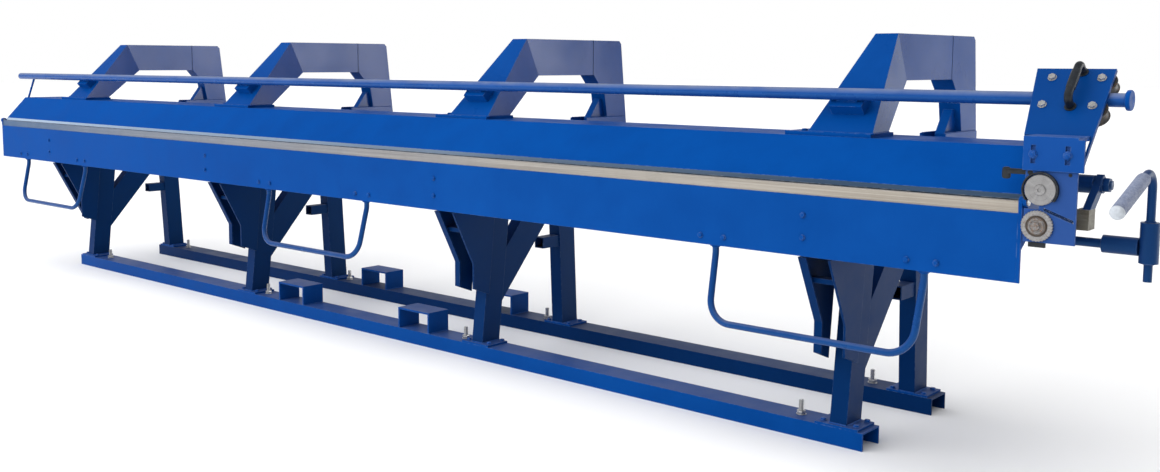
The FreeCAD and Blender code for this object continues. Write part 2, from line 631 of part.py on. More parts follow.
def make_throat_arms():
    arms, lugs, pins = [], [], []
    for place in STATIONS:
        start = station_x(place) + " - throat_arm_half"
        outline = [("lower_rear_y", "throat_arm_under"),
                   ("throat_arm_rear_y", "throat_arm_under"),
                   ("throat_arm_rear_y", "table_height"), ("lower_rear_y", "table_height")]
        arms.append(along_x("throat_arm", outline, "2 * throat_arm_half", start,
                            "throat_arm_wall", (1, 3)))
        for side in (-1, 1):
            x = "%s + %d * throat_arm_half" % (station_x(place), side)
            if side < 0:
                x += " - lug_thickness"
            outline = [("pivot_y - lug_depth / 2", "throat_arm_under + lug_lap"),
                       ("pivot_y + lug_depth / 2", "throat_arm_under + lug_lap"),
                       ("pivot_y + lug_depth / 2", "pivot_z"),
                       ("pivot_y + lug_depth / 4", "pivot_z + lug_above"),
                       ("pivot_y - lug_depth / 4", "pivot_z + lug_above"),
                       ("pivot_y - lug_depth / 2", "pivot_z")]
            lug = along_x("lug", outline, "lug_thickness", x)
            hole = rod("lug_hole", (x + " - over", "pivot_y", "pivot_z"), RIGHT,
                       "pivot_pin_radius", "lug_thickness + 2 * over")
            lugs.append(cut("pivot_lug", lug, [hole]))
        reach = "(throat_arm_half + lug_thickness + pin_end)"
        pins.append(rod("pivot_pin", ("%s - %s" % (station_x(place), reach), "pivot_y",
                                      "pivot_z"), RIGHT, "pivot_pin_radius", "2 * " + reach))
    group("throat_arms", arms)
    group("pivot_lugs", lugs)
    group("pivot_pins", pins)


# Clamping frame

def face_y(z):
    """Y of the clamping beam's sloping face at a height."""
    return "(nose_y + (%s - clamp_under) * tan(clamp_face_lean))" % z


def make_clamp_beam():
    top = "(clamp_under + nose_height)"
    outline = [("nose_y", "clamp_under"), (face_y(top), top), ("nose_y + nose_depth", top),
               ("nose_y + nose_depth", "clamp_under")]
    keep("clamp_jaw", along_x("clamp_jaw", outline, "beam_length", "beam_left"))
    outline = [(face_y(top), top), ("clamp_belly_y", top), ("clamp_rear_y", "clamp_rear_z"),
               ("clamp_rear_y", "clamp_top_z"), (face_y("clamp_top_z"), "clamp_top_z")]
    keep("clamp_beam", along_x("clamp_beam", outline, "beam_length", "beam_left", "clamp_wall"))


def arm_face_y(z):
    """Y of the arms' sloping front face at a height."""
    return "(arm_front_y - (arm_top_z - %s) * tan(arm_lean))" % z


def ring(corners):
    points = [Vector(*(number(text) for text in corner)) for corner in corners]
    return Part.makePolygon(points + points[:1])


def arm_front(shrink, place):
    """Tapered front box of an arm, from the beam flange up to the top box."""
    x = station_x(place)
    under = "arm_foot_z" if shrink == "0" else "(arm_foot_z - over)"
    top_half = "(arm_thickness / 2 - %s)" % shrink
    front_half = "(arm_foot_front - %s)" % shrink
    rear_half = "(arm_foot_rear - %s)" % shrink
    step = "(%s / cos(arm_lean))" % shrink
    top = [("%s - %s" % (x, top_half), "arm_front_y + %s" % step, "arm_top_z"),
           ("%s + %s" % (x, top_half), "arm_front_y + %s" % step, "arm_top_z"),
           ("%s + %s" % (x, top_half), "arm_throat_y - %s" % step, "arm_high"),
           ("%s - %s" % (x, top_half), "arm_throat_y - %s" % step, "arm_high")]
    front_y = "%s + %s" % (arm_face_y(under), step)
    bottom = [("%s - %s" % (x, front_half), front_y, under),
              ("%s + %s" % (x, front_half), front_y, under),
              ("%s + %s" % (x, rear_half), "arm_foot_y - %s" % step, under),
              ("%s - %s" % (x, rear_half), "arm_foot_y - %s" % step, under)]
    feature = doc.addObject("Part::Feature", "arm_front")
    feature.Shape = Part.makeLoft([ring(top), ring(bottom)], True, True)
    return feature


def make_arms():
    arms = []
    low, top = "arm_high + arm_wall", "arm_top_z - arm_wall"
    for place in STATIONS:
        x = station_x(place)
        outline = [("arm_front_y", "arm_top_z"), ("arm_throat_y", "arm_high"),
                   ("arm_seam_y", "arm_high"), ("arm_seam_y", "arm_top_z")]
        outer = along_x("arm_box", outline, "arm_thickness", x + " - arm_thickness / 2")
        outline = [("arm_front_y + 2 * arm_wall", top), ("arm_throat_y", low),
                   ("arm_seam_y + over", low), ("arm_seam_y + over", top)]
        inner = along_x("arm_hollow", outline, "arm_thickness - 2 * arm_wall",
                        x + " - arm_thickness / 2 + arm_wall")
        whole = fuse("arm_outer", [outer, arm_front("0", place)])
        arms.append(cut("arm_shell", whole, [inner, arm_front("arm_wall", place)]))
    group("swan_neck_arms", arms)


def make_columns():
    columns, cheeks, ribs, bushes, spacers = [], [], [], [], []
    slope = "((column_heel_y - column_knee_y) / (column_foot_z - column_knee_z))"
    for place in STATIONS:
        x = station_x(place)
        outline = [("arm_seam_y", "arm_top_z"), ("arm_seam_y", "arm_high"),
                   ("column_chamfer_y", "arm_high"), ("column_knee_y", "column_knee_z"),
                   ("column_heel_y", "column_foot_z"), ("column_foot_y", "column_foot_z"),
                   ("column_top_y", "arm_top_z - column_corner"),
                   ("column_top_y - column_corner", "arm_top_z")]
        columns.append(along_x("column", outline, "arm_thickness",
                               x + " - arm_thickness / 2", "arm_wall", (0, 4)))
        for side in (-1, 1):
            start = "%s + %d * (arm_thickness / 2)" % (x, side)
            if side < 0:
                start += " - cheek_plate_thickness"
            outline = [("cheek_plate_front_y", "cheek_plate_bottom_z"),
                       ("cheek_plate_rear_y", "cheek_plate_bottom_z"),
                       ("cheek_plate_rear_y", "cheek_plate_top_z"),
                       ("cheek_plate_front_y", "cheek_plate_top_z")]
            plate = along_x("foot_cheek", outline, "cheek_plate_thickness", start)
            hole = rod("foot_cheek_hole", (start + " - over", "pivot_y", "pivot_z"), RIGHT,
                       "pivot_bush_radius", "cheek_plate_thickness + 2 * over")
            cheeks.append(cut("foot_cheek_cut", plate, [hole]))
        rib_y = "column_knee_y + %s * (%s - column_knee_z)"
        outline = [(rib_y % (slope, "rib_top_z"), "rib_top_z"),
                   (rib_y % (slope, "rib_top_z") + " - rib_head", "rib_top_z"),
                   ("rib_toe_y", "rib_toe_z"), ("rib_toe_y", "column_foot_z"),
                   ("column_heel_y", "column_foot_z")]
        ribs.append(along_x("rib", outline, "rib_thickness", x + " - rib_thickness / 2"))
        half = "(arm_thickness / 2 + cheek_plate_thickness)"
        bush = rod("bush", ("%s - %s" % (x, half), "pivot_y", "pivot_z"), RIGHT,
                   "pivot_bush_radius", "2 * " + half)
        bore = rod("bush_bore", ("%s - %s - over" % (x, half), "pivot_y", "pivot_z"), RIGHT,
                   "pivot_pin_radius + running_gap", "2 * %s + 2 * over" % half)
        bushes.append(cut("pivot_bush", bush, [bore]))
        spacers.append(box("spacer", (x + " - arm_thickness / 2",
                                      "cheek_plate_front_y + spacer_inset",
                                      "cheek_plate_bottom_z + spacer_inset"),
                           ("arm_thickness", "spacer_depth", "spacer_height")))
    group("columns", columns)
    group("column_foot_plates", cheeks + spacers)
    group("column_ribs", ribs)
    group("pivot_bushes", bushes)


def make_arm_plates():
    plates, bolts = [], []
    front = "(%s - arm_plate_lap)" % arm_face_y("arm_foot_z")
    for station in STATIONS:
        x = station_x(station)
        plates.append(box("arm_plate", (x + " - arm_plate_left", front, "clamp_top_z"),
                          ("arm_plate_left + arm_plate_right", "arm_plate_rear_y - %s" % front,
                           "arm_plate_height")))
        for y in ("arm_bolt_front_y", "arm_bolt_rear_y"):
            bolts.append(bolt("arm_bolt", (x + " + arm_bolt_x", y, "arm_foot_z"), UP,
                              ("arm_bolt_radius", "arm_head_radius", "arm_head_height")))
    group("arm_base_plates", plates)
    group("arm_base_bolts", bolts)


def on_slope(thing, x="0", across="0", out="0"):
    """Lay a thing on the arms' slope: its Y up the slope, its Z out of the face."""
    lean = 90 - number("arm_lean")
    thing.Placement = Placement(Vector(), Rotation(Vector(1, 0, 0), lean))
    return move(thing, x, "tube_y + (%s) * sin(arm_lean) - (%s) * cos(arm_lean)" % (across, out),
                "tube_z + (%s) * cos(arm_lean) + (%s) * sin(arm_lean)" % (across, out))


def make_guide_tube():
    length = "(tube_right_x - tube_left_x)"
    axis = ("tube_left_x", "tube_y", "tube_z")
    outer = rod("tube_outer", axis, RIGHT, "tube_radius", length)
    bore = rod("tube_bore", ("tube_left_x - over", "tube_y", "tube_z"), RIGHT,
               "tube_radius - tube_wall", length + " + 2 * over")
    keep("guide_tube", cut("guide_tube_shell", outer, [bore]))
    stub = rod("end_stub", ("tube_right_x - stub_length", "tube_y", "tube_z"), RIGHT,
               "stub_radius", "stub_length")
    flange = rod("end_flange", ("tube_right_x", "tube_y", "tube_z"), RIGHT,
                 "end_flange_radius", "end_flange_length")
    keep("tube_end_stop", fuse("tube_end", [stub, flange]))
    saddles = []
    for place in STATIONS:
        x = station_x(place)
        face = "((tube_y - %s) * cos(arm_lean))" % arm_face_y("tube_z")
        base = box("saddle_base", (), ("saddle_length", "saddle_width",
                                       "-%s - saddle_top" % face))
        on_slope(base, x + " - saddle_length / 2", "-saddle_width / 2", face)
        neck = box("saddle_neck", (), ("neck_length", "2 * neck_half",
                                       "saddle_top - tube_radius / 2"))
        on_slope(neck, x + " - neck_length / 2", "-neck_half", "-saddle_top")
        clear = rod("saddle_clear", ("%s - saddle_length" % x, "tube_y", "tube_z"), RIGHT,
                    "tube_radius", "2 * saddle_length")
        saddles.append(cut("saddle", fuse("saddle_body", [base, neck]), [clear]))
    group("tube_saddles", saddles)
    start = [number(text) for text in ("strut_x", face_y("clamp_top_z") + " + strut_foot",
                                       "clamp_top_z")]
    end = [number(text) for text in ("strut_x", "tube_y", "tube_z - tube_radius")]
    run = Vector(*end) - Vector(*start)
    strut = doc.addObject("Part::Cylinder", "strut")
    bind(strut, "Radius", "strut_radius")
    strut.Height = run.Length
    strut.Placement = Placement(Vector(*start), Rotation(Vector(0, 0, 1), run))
    trim = box("strut_trim", ("strut_x - 2 * strut_radius",
                              face_y("clamp_top_z") + " - 4 * strut_radius",
                              "clamp_top_z - 4 * strut_radius"),
               ("4 * strut_radius", "8 * strut_radius", "4 * strut_radius"))
    clear = rod("strut_clear", ("strut_x - 2 * strut_radius", "tube_y", "tube_z"), RIGHT,
                "tube_radius", "4 * strut_radius")
    keep("tube_strut", cut("tube_strut_cut", strut, [trim, clear]))


def make_adjuster():
    """Stud, link, nut and block beyond the clamping beam's right end."""
    keep("end_stud", rod("end_stud", ("beam_right", "stud_y", "stud_z"), RIGHT, "stud_radius",
                         "stud_length"))
    run_y, run_z = "(link_foot_y - stud_y)", "(block_top_z - stud_z)"
    span = "sqrt(%s * %s + %s * %s)" % (run_y, run_y, run_z, run_z)
    side_y = "(%s / %s * link_width / 2)" % (run_z, span)
    side_z = "(%s / %s * link_width / 2)" % (run_y, span)
    over_y = "(%s / %s * link_width)" % (run_y, span)
    over_z = "(%s / %s * link_width)" % (run_z, span)
    foot_half = "(%s / %s * link_width / 2)" % (span, run_z)
    outline = [("stud_y - %s + %s" % (over_y, side_y), "stud_z - %s - %s" % (over_z, side_z)),
               ("link_foot_y + %s" % foot_half, "block_top_z"),
               ("link_foot_y - %s" % foot_half, "block_top_z"),
               ("stud_y - %s - %s" % (over_y, side_y), "stud_z - %s + %s" % (over_z, side_z))]
    keep("adjusting_link", along_x("link", outline, "link_thickness", "stud_end_x"))
    keep("adjusting_nut", hexagon("nut", ("stud_end_x + link_thickness", "stud_y", "stud_z"),
                                  RIGHT, "nut_radius", "nut_height"))
    keep("adjusting_block", box("block", ("stud_end_x + link_thickness - block_length",
                                          "stud_y - block_reach - block_depth / 2",
                                          "block_top_z - block_height"),
                                ("block_length", "block_depth", "block_height")))


# Apron

def make_apron():
    top = "(axis_z - strip_height)"
    rear = "(apron_front_y + apron_depth)"
    inner = "(apron_front_y + apron_wall)"
    outline = [("apron_front_y", "apron_bottom_z"), (rear, "apron_bottom_z"),
               (rear, "apron_bottom_z + apron_wall"), (inner, "apron_bottom_z + apron_wall"),
               (inner, top + " - apron_wall"), (rear, top + " - apron_wall"), (rear, top),
               ("apron_front_y", top)]
    left = "apron_left + ear_thickness"
    length = "apron_right - apron_left - 2 * ear_thickness"
    channel = along_x("apron_web", outline, length, left)
    drills = [box("apron_relief", (x, inner, "apron_bottom_z - over"),
                  ("flange_relief + over", "apron_depth", "apron_wall + over"))
              for x in (left + " - over", "%s + %s - flange_relief" % (left, length))]
    bolts = []
    for x, z in apron_bolt_places():
        place = (x, "apron_front_y", z)
        drills.append(rod("apron_hole", (x, "apron_front_y - over", z), (0, 1, 0),
                          "apron_bolt_radius + side_gap", "apron_wall + 2 * over"))
        bolts.append(bolt("apron_bolt", place, FRONT,
                          ("apron_bolt_radius", "apron_head_radius", "apron_head_height"),
                          "apron_wall + apron_bolt_tail"))
    keep("apron_channel", cut("apron_drilled", channel, drills))
    group("apron_bolts", bolts)
    outline = [("strip_front_y", top), ("strip_front_y + strip_depth", top),
               ("strip_front_y + strip_depth", "axis_z"), ("strip_front_y", "axis_z")]
    keep("folding_strip", along_x("folding_strip", outline, length, left))
    ears = []
    for x in ("apron_left", "apron_right - ear_thickness"):
        outline = [("apron_front_y", "apron_bottom_z"), (inner, "apron_bottom_z"),
                   (inner, "apron_bottom_z + ear_low_up"),
                   (rear, "apron_bottom_z + ear_high_up"), (rear, top),
                   ("axis_y + ear_radius", "axis_z"), ("axis_y - ear_radius", "axis_z"),
                   ("apron_front_y", top)]
        plate = along_x("ear_plate", outline, "ear_thickness", x)
        boss = rod("ear_boss", (x, "axis_y", "axis_z"), RIGHT, "ear_radius", "ear_thickness")
        bore = rod("ear_bore", (x + " - over", "axis_y", "axis_z"), RIGHT,
                   "hinge_pin_radius + running_gap", "ear_thickness + 2 * over")
        ears.append(cut("ear", fuse("ear_body", [plate, boss]), [bore]))
    group("apron_ears", ears)
    ribs = []
    for step in (-3.5, -2.5, -1.5, -0.5, 0.5, 1.5, 2.5, 3.5):
        ribs.append(box("apron_rib", ("%s * station_pitch / 2" % step, inner,
                                      "apron_bottom_z + apron_wall"),
                        ("apron_rib_thickness", "apron_depth - apron_wall",
                         "%s - apron_bottom_z - 2 * apron_wall" % top)))
    group("apron_ribs", ribs)


def apron_bolt_places():
    for step in (-1, 0, 1):
        for side in (-1, 1):
            for near in (-1, 1):
                yield ("%d * handle_pitch + %d * handle_half + %d * handle_bolt_spread / 2"
                       % (step, side, near), "handle_bolt_z")
    for place in STATIONS:
        for z in ("stay_bolt_low_z", "stay_bolt_high_z"):
            yield station_x(place) + " + stay_bolt_x", z


def bent_bar(name, points, bend, radius):
    """Round bar along straight runs joined by arcs of one radius, or less where it's tight."""
    spots = [Vector(*(number(text) for text in point)) for point in points]
    edges = []
    last = spots[0]
    for before, here, after in zip(spots, spots[1:], spots[2:]):
        into = (here - before).normalize()
        out = (after - here).normalize()
        half_turn = into.getAngle(out) / 2
        shorter = min((here - before).Length, (after - here).Length)
        reach = min(number(bend) * math.tan(half_turn), 0.45 * shorter)
        arc_radius = reach / math.tan(half_turn)
        start, end = here - into * reach, here + out * reach
        inside = (out - into).normalize()
        bulge = here + inside * (math.hypot(arc_radius, reach) - arc_radius)
        edges.append(Part.LineSegment(last, start).toShape())
        edges.append(Part.Arc(start, bulge, end).toShape())
        last = end
    edges.append(Part.LineSegment(last, spots[-1]).toShape())
    circle = Part.makeCircle(number(radius), spots[0], spots[1] - spots[0])
    feature = doc.addObject("Part::Feature", name)
    feature.Shape = Part.Wire(edges).makePipeShell([Part.Wire(circle)], True, True)
    return feature


def make_handles():
    handles = []
    for step in (-1, 0, 1):
        x = "%d * handle_pitch" % step
        half_path = [("handle_half", "handle_top_y", "apron_bottom_z"),
                     ("handle_half", "handle_top_y", "apron_bottom_z - handle_neck"),
                     ("handle_grip_half", "handle_grip_y", "handle_grip_z")]
        points = [("%s - %s" % (x, half), y, z) for half, y, z in half_path]
        points += [("%s + %s" % (x, half), y, z) for half, y, z in reversed(half_path)]
        handles.append(bent_bar("lift_handle", points, "handle_bend", "handle_radius"))
    group("lift_handles", handles)


# Clamp lever

def make_lever():
    start = ("shaft_left_x", "shaft_y", "shaft_z")
    keep("clamp_shaft", rod("clamp_shaft", start, RIGHT, "shaft_radius",
                            "hub_x - hub_radius - shaft_left_x"))
    sleeve_length = "(hub_x - hub_radius - sleeve_x)"
    sleeve = rod("sleeve", ("sleeve_x", "shaft_y", "shaft_z"), RIGHT, "sleeve_radius",
                 sleeve_length)
    bore = rod("sleeve_bore", ("sleeve_x - over", "shaft_y", "shaft_z"), RIGHT, "shaft_radius",
               sleeve_length + " + 2 * over")
    keep("shaft_sleeve", cut("shaft_sleeve_cut", sleeve, [bore]))
    foot = "shaft_z + hub_shift - hub_height / 2"
    hub = rod("hub", ("hub_x", "shaft_y", foot), UP, "hub_radius", "hub_height")
    trim = box("hub_trim", ("hub_x - 3 * hub_radius", "shaft_y - 2 * hub_radius",
                            foot + " - over"),
               ("2 * hub_radius", "4 * hub_radius", "hub_height + 2 * over"))
    hole = rod("hub_hole", ("hub_x", "shaft_y", "shaft_z - hub_height"), UP, "lever_radius",
               "2 * hub_height")
    keep("lever_hub", cut("lever_hub_cut", hub, [trim, hole]))
    points = [("hub_x", "shaft_y", "shaft_z - lever_tail"),
              ("hub_x", "shaft_y", "shaft_z + lever_bend_up"),
              ("hub_x", "shaft_y - lever_tip_reach", "shaft_z + lever_tip_up")]
    keep("lever_bar", bent_bar("lever_bar", points, "lever_bend_radius", "lever_radius"))
    tip = [number(text) for text in points[-1]]
    neck = [number(text) for text in points[-2]]
    run = (Vector(*neck) - Vector(*tip)).normalize()
    grip = doc.addObject("Part::Cylinder", "grip")
    bind(grip, "Radius", "grip_radius")
    bind(grip, "Height", "grip_length")
    along = Rotation(Vector(0, 0, 1), run)
    grip.Placement = Placement(Vector(*tip) - run * number("grip_end"), along)
    inside = doc.addObject("Part::Cylinder", "grip_inside")
    bind(inside, "Radius", "lever_radius")
    bind(inside, "Height", "grip_length + over")
    inside.Placement = Placement(Vector(*tip), along)
    keep("lever_grip", cut("lever_grip_cut", grip, [inside]))


# Slitting carriage

def make_carriage_plate():
    """Channel in front of the tube; its right flange runs down past the bracket."""
    outline = [("-plate_left_bottom", "plate_bottom"), ("plate_right", "plate_bottom"),
               ("plate_right", "plate_top"), ("-plate_left_top", "plate_top")]
    low = "plate_offset - plate_flange + plate_thickness"
    body = on_slope(profile("carriage_channel", "XY_Plane", outline, "plate_flange"),
                    "carriage_x", "0", low)
    strip = rectangle("plate_right - plate_thickness", "plate_right",
                      "plate_bottom - plate_tail", "plate_bottom + over")
    tail = on_slope(profile("carriage_tail", "XY_Plane", strip, "plate_flange"),
                    "carriage_x", "0", low)
    inner = [("-plate_left_bottom + plate_thickness", "plate_bottom - over"),
             ("plate_right - plate_thickness", "plate_bottom - over"),
             ("plate_right - plate_thickness", "plate_top + over"),
             ("-plate_left_top + plate_thickness", "plate_top + over")]
    hollow = profile("carriage_hollow", "XY_Plane", inner, "plate_flange")
    on_slope(hollow, "carriage_x", "0", "plate_offset - plate_flange")
    drills = [hollow]
    for side_x, side_y in roller_places():
        hole = rod("axle_hole", (), UP, "axle_radius", "4 * plate_flange")
        drills.append(on_slope(hole, side_x, side_y, "plate_offset - 2 * plate_flange"))
    plate = cut("carriage_plate_cut", body, drills)
    keep("carriage_plate", fuse("carriage_plate_tailed", [plate, tail]))


def roller_places():
    for up in (1, -1):
        for side in (-1, 1):
            yield ("carriage_x + roller_shift + %d * roller_pitch / 2" % side,
                   "%d * roller_reach" % up)


def make_rollers():
    """Grooved rollers above and below the guide tube, and the axles that hold them."""
    axles = []
    for i, (x, across) in enumerate(roller_places()):
        disc = rod("roller_disc", ("0", "0", "-roller_thickness / 2"), UP, "roller_radius",
                   "roller_thickness")
        groove = doc.addObject("Part::Torus", "roller_groove")
        bind(groove, "Radius1", "roller_reach")
        bind(groove, "Radius2", "tube_radius + roller_gap")
        bore = rod("roller_bore", ("0", "0", "-roller_thickness"), UP,
                   "axle_radius + running_gap", "2 * roller_thickness")
        roller = cut("roller", disc, [groove, bore])
        keep("roller_%d" % (i + 1), on_slope(roller, x, across))
        axle = rod("axle", (), UP, "axle_radius",
                   "roller_thickness / 2 + plate_offset + plate_thickness")
        on_slope(axle, x, across, "-roller_thickness / 2")
        collar = rod("axle_collar", (), UP, "axle_head_radius",
                     "plate_offset - roller_thickness / 2 - side_gap")
        on_slope(collar, x, across, "roller_thickness / 2 + side_gap")
        head = hexagon("axle_head", (), UP, "axle_head_radius", "axle_head_height")
        on_slope(head, x, across, "plate_offset + plate_thickness")
        washer = rod("axle_washer", (), UP, "axle_head_radius", "axle_tail")
        on_slope(washer, x, across, "-roller_thickness / 2 - side_gap - axle_tail")
        link = rod("axle_link", (), UP, "axle_radius", "axle_tail")
        on_slope(link, x, across, "-roller_thickness / 2 - axle_tail")
        axles.append(fuse("roller_axle", [axle, collar, head, washer, link]))
    group("roller_axles", axles)


def make_bow_handle():
    out = "(plate_offset + plate_thickness)"
    path = [("0", "bow_bottom", out), ("0", "bow_bottom", out + " + bow_rise"),
            ("0", "bow_top", out + " + bow_rise"), ("0", "bow_top", out)]
    bow = bent_bar("bow_handle", path, "bow_bend", "bow_radius")
    keep("bow_handle", on_slope(bow, "carriage_x + bow_x"))


def rectangle(left, right, bottom, top):
    return [(left, bottom), (right, bottom), (right, top), (left, top)]


def make_slide_plate():
    """Bracket with a shelf under the sloping plate and two slots for the blade plate."""
    slots = [rectangle(middle + " - slot_half_width", middle + " + slot_half_width",
                       "slot_bottom_z", "slot_top_z")
             for middle in ("slot_left", "slot_right")]
    foot_y = "(tube_y + plate_bottom * sin(arm_lean) - plate_offset * cos(arm_lean))"
    foot_z = "(tube_z + plate_bottom * cos(arm_lean) + plate_offset * sin(arm_lean))"
    front = profile("slide_front", "XZ_Plane",
                    rectangle("slide_plate_left", "slide_plate_right",
                              "slide_plate_bottom_z", foot_z),
                    "slide_plate_thickness", holes=slots)
    move(front, "carriage_x", "slide_plate_y")
    shelf = box("slide_shelf", ("carriage_x + slide_plate_left",
                                "slide_plate_y - slide_plate_thickness",
                                foot_z + " - shelf_seat"),
                ("plate_right - plate_thickness - side_gap - slide_plate_left",
                 "%s - slide_plate_y + 2 * slide_plate_thickness" % foot_y,
                 "2 * shelf_seat"))
    seat = box("slide_seat", (), ("4 * plate_left_top", "4 * plate_top",
                                  "2 * plate_offset + plate_thickness"))
    on_slope(seat, "carriage_x - 2 * plate_left_top", "plate_bottom", "-plate_offset")
    keep("slide_plate", cut("slide_plate_cut", fuse("slide_body", [front, shelf]), [seat]))


def blade_places():
    return (("carriage_x + upper_blade_x", "upper_blade_z", "upper_blade_radius"),
            ("carriage_x + lower_blade_x", "lower_blade_z", "lower_blade_radius"))


def make_blade_plate():
    """Plate in the plane of the cut; its left notch lets the uncut sheet in."""
    face = "(slide_plate_y + blade_plate_thickness)"
    outline = rectangle("blade_plate_left", "blade_plate_right", "blade_plate_bottom_z",
                        "blade_plate_top_z")
    nip = rectangle("nip_left", "nip_right", "nip_bottom_z", "nip_top_z")
    slit = [("slit_left", "slit_left_z - slit_half_height"),
            ("slit_right", "slit_right_z - slit_half_height"),
            ("slit_right", "slit_right_z + slit_half_height"),
            ("slit_left", "slit_left_z + slit_half_height")]
    plate = profile("blade_plate_blank", "XZ_Plane", outline, "blade_plate_thickness",
                    holes=[nip, slit])
    move(plate, "carriage_x", face)
    drills, bolts = [], []
    for middle in ("slot_left", "slot_right"):
        x = "carriage_x + " + middle
        z = "(slot_bottom_z + slot_top_z) / 2"
        drills.append(rod("clip_hole", (x, face + " + over", z), FRONT, "clip_bolt_radius",
                          "blade_plate_thickness + 2 * over"))
        bolts.append(bolt("clip_bolt", (x, "slide_plate_y - slide_plate_thickness", z), FRONT,
                          ("clip_bolt_radius", "clip_head_radius", "clip_head_height"),
                          "slide_plate_thickness + blade_plate_thickness"))
    for x, z, _ in blade_places():
        drills.append(rod("blade_axle_hole", (x, face + " + over", z), FRONT,
                          "blade_axle_radius", "blade_plate_thickness + 2 * over"))
    pivot = "carriage_x + latch_x"
    drills.append(rod("latch_hole", (pivot, face + " + over", "latch_z"), FRONT,
                      "latch_pivot_radius", "blade_plate_thickness + 2 * over"))
    foot = box("sheet_guide_foot", ("carriage_x + lower_blade_x - peg_half",
                                    face + " - blade_plate_thickness",
                                    "blade_plate_bottom_z - peg_height"),
               ("2 * peg_half", "blade_plate_thickness", "peg_height"))
    keep("blade_plate", cut("blade_plate_cut", fuse("blade_plate_foot", [plate, foot]), drills))
    group("clip_bolts", bolts)


def make_blades():
    face = "slide_plate_y"
    axles = []
    for word, (x, z, radius) in zip(("upper", "lower"), blade_places()):
        back = "(%s - blade_gap)" % face
        disc = rod("blade_disc", (x, back, z), FRONT, radius, "blade_thickness - blade_bevel")
        edge = doc.addObject("Part::Cone", "blade_edge")
        bind(edge, "Radius1", radius)
        bind(edge, "Radius2", radius + " - blade_bevel")
        bind(edge, "Height", "blade_bevel")
        edge.Placement = Placement(Vector(), Rotation(Vector(0, 0, 1), Vector(*FRONT)))
        move(edge, x, back + " - blade_thickness + blade_bevel", z)
        bore = rod("blade_bore", (x, back + " + over", z), FRONT,
                   "blade_axle_radius + running_gap", "blade_thickness + 2 * over")
        keep(word + "_blade", cut("blade", fuse("blade_body", [disc, edge]), [bore]))
        front = back + " - blade_thickness - blade_gap"
        parts = [rod("blade_axle", (x, face + " + blade_plate_thickness", z), FRONT,
                     "blade_axle_radius",
                     "blade_plate_thickness + blade_thickness + 2 * blade_gap + hub_cap_height")]
        if word == "lower":
            parts.append(rod("bearing_ring", (x, front, z), FRONT, "bearing_radius",
                             "bearing_height"))
            front += " - bearing_height"
        parts.append(hexagon("hub_cap", (x, front, z), FRONT, "hub_cap_radius",
                             "hub_cap_height"))
        axles.append(fuse("blade_axle_body", parts))
    group("carriage_pins", axles + [latch_pin()])
    x, z, _ = blade_places()[0]
    ring_body = rod("ring_body", (x, face, z), FRONT, "ring_radius", "ring_depth")
    ring_bore = rod("ring_hollow", (x, face + " + over", z), FRONT, "ring_bore",
                    "ring_depth + 2 * over")
    mouth = box("ring_mouth", (x + " - 2 * ring_radius", face + " - 2 * ring_depth",
                               "nip_bottom_z - ring_mouth_drop"),
                ("4 * ring_radius", "4 * ring_depth",
                 "nip_top_z - nip_bottom_z + ring_mouth_drop"))
    keep("blade_guard_ring", cut("guard_ring", ring_body, [ring_bore, mouth]))


def latch_pin():
    face = "(slide_plate_y + blade_plate_thickness)"
    x = "carriage_x + latch_x"
    pin = rod("latch_pin_shank", (x, face + " - blade_plate_thickness", "latch_z"), (0, 1, 0),
              "latch_pivot_radius", "blade_plate_thickness + latch_thickness + 2 * side_gap")
    head = rod("latch_pin_head", (x, face + " + latch_thickness + 2 * side_gap", "latch_z"),
               (0, 1, 0), "latch_head_radius", "latch_head_height")
    return fuse("latch_pin", [pin, head])


def make_latch():
    """Cranked lever behind the blade plate that presses the upper blade down."""
    face = "(slide_plate_y + blade_plate_thickness)"
    x = "(carriage_x + latch_x)"
    near = face + " + side_gap"
    boss = rod("latch_boss", (x, near, "latch_z"), (0, 1, 0), "latch_boss_radius",
               "latch_thickness")
    arm = box("latch_arm", (x + " - latch_length", near, "latch_z - latch_width / 2"),
              ("latch_length", "latch_thickness", "latch_width"))
    knob = rod("latch_knob", (x + " - latch_length", near + " + latch_thickness / 2",
                              "latch_z - latch_knob_drop"), UP, "latch_knob_radius",
               "latch_knob_drop + latch_width / 2")
    bore = rod("latch_bore", (x, near + " - over", "latch_z"), (0, 1, 0),
               "latch_pivot_radius + running_gap", "latch_thickness + 2 * over")
    slot = box("latch_trim", (x + " - 2 * latch_length", near + " - 2 * latch_knob_radius",
                              "latch_z - 2 * latch_knob_drop"),
               ("4 * latch_length", "2 * latch_knob_radius", "4 * latch_knob_drop"))
    keep("blade_latch", cut("latch", fuse("latch_body", [boss, arm, knob]), [bore, slot]))


make_rails()
make_fork_pockets()
make_levelling_studs()
make_legs()
make_foot_plates()
make_cheeks()
make_lower_beam()
make_throat_arms()
make_clamp_beam()
make_arms()
make_columns()
make_arm_plates()
make_guide_tube()
make_adjuster()
make_apron()
make_handles()
make_lever()
make_carriage_plate()
make_rollers()
make_bow_handle()
make_slide_plate()
make_blade_plate()
make_blades()
make_latch()

doc.recompute()

faults = [thing.Label for thing in doc.Objects
          if "Invalid" in thing.State or "Error" in thing.State]
faults += [node.Label for node in nodes if node.Shape.isNull() or not node.Shape.isValid()]
if faults:
    raise SystemExit("These did not build: " + ", ".join(faults))

os.makedirs("parts", exist_ok=True)
for node in nodes:
    node.Shape.exportStep("parts/%s.step" % node.Label)
print(len(nodes), "nodes")
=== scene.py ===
import json
import math

import bmesh
import bpy
from mathutils import Matrix, Vector


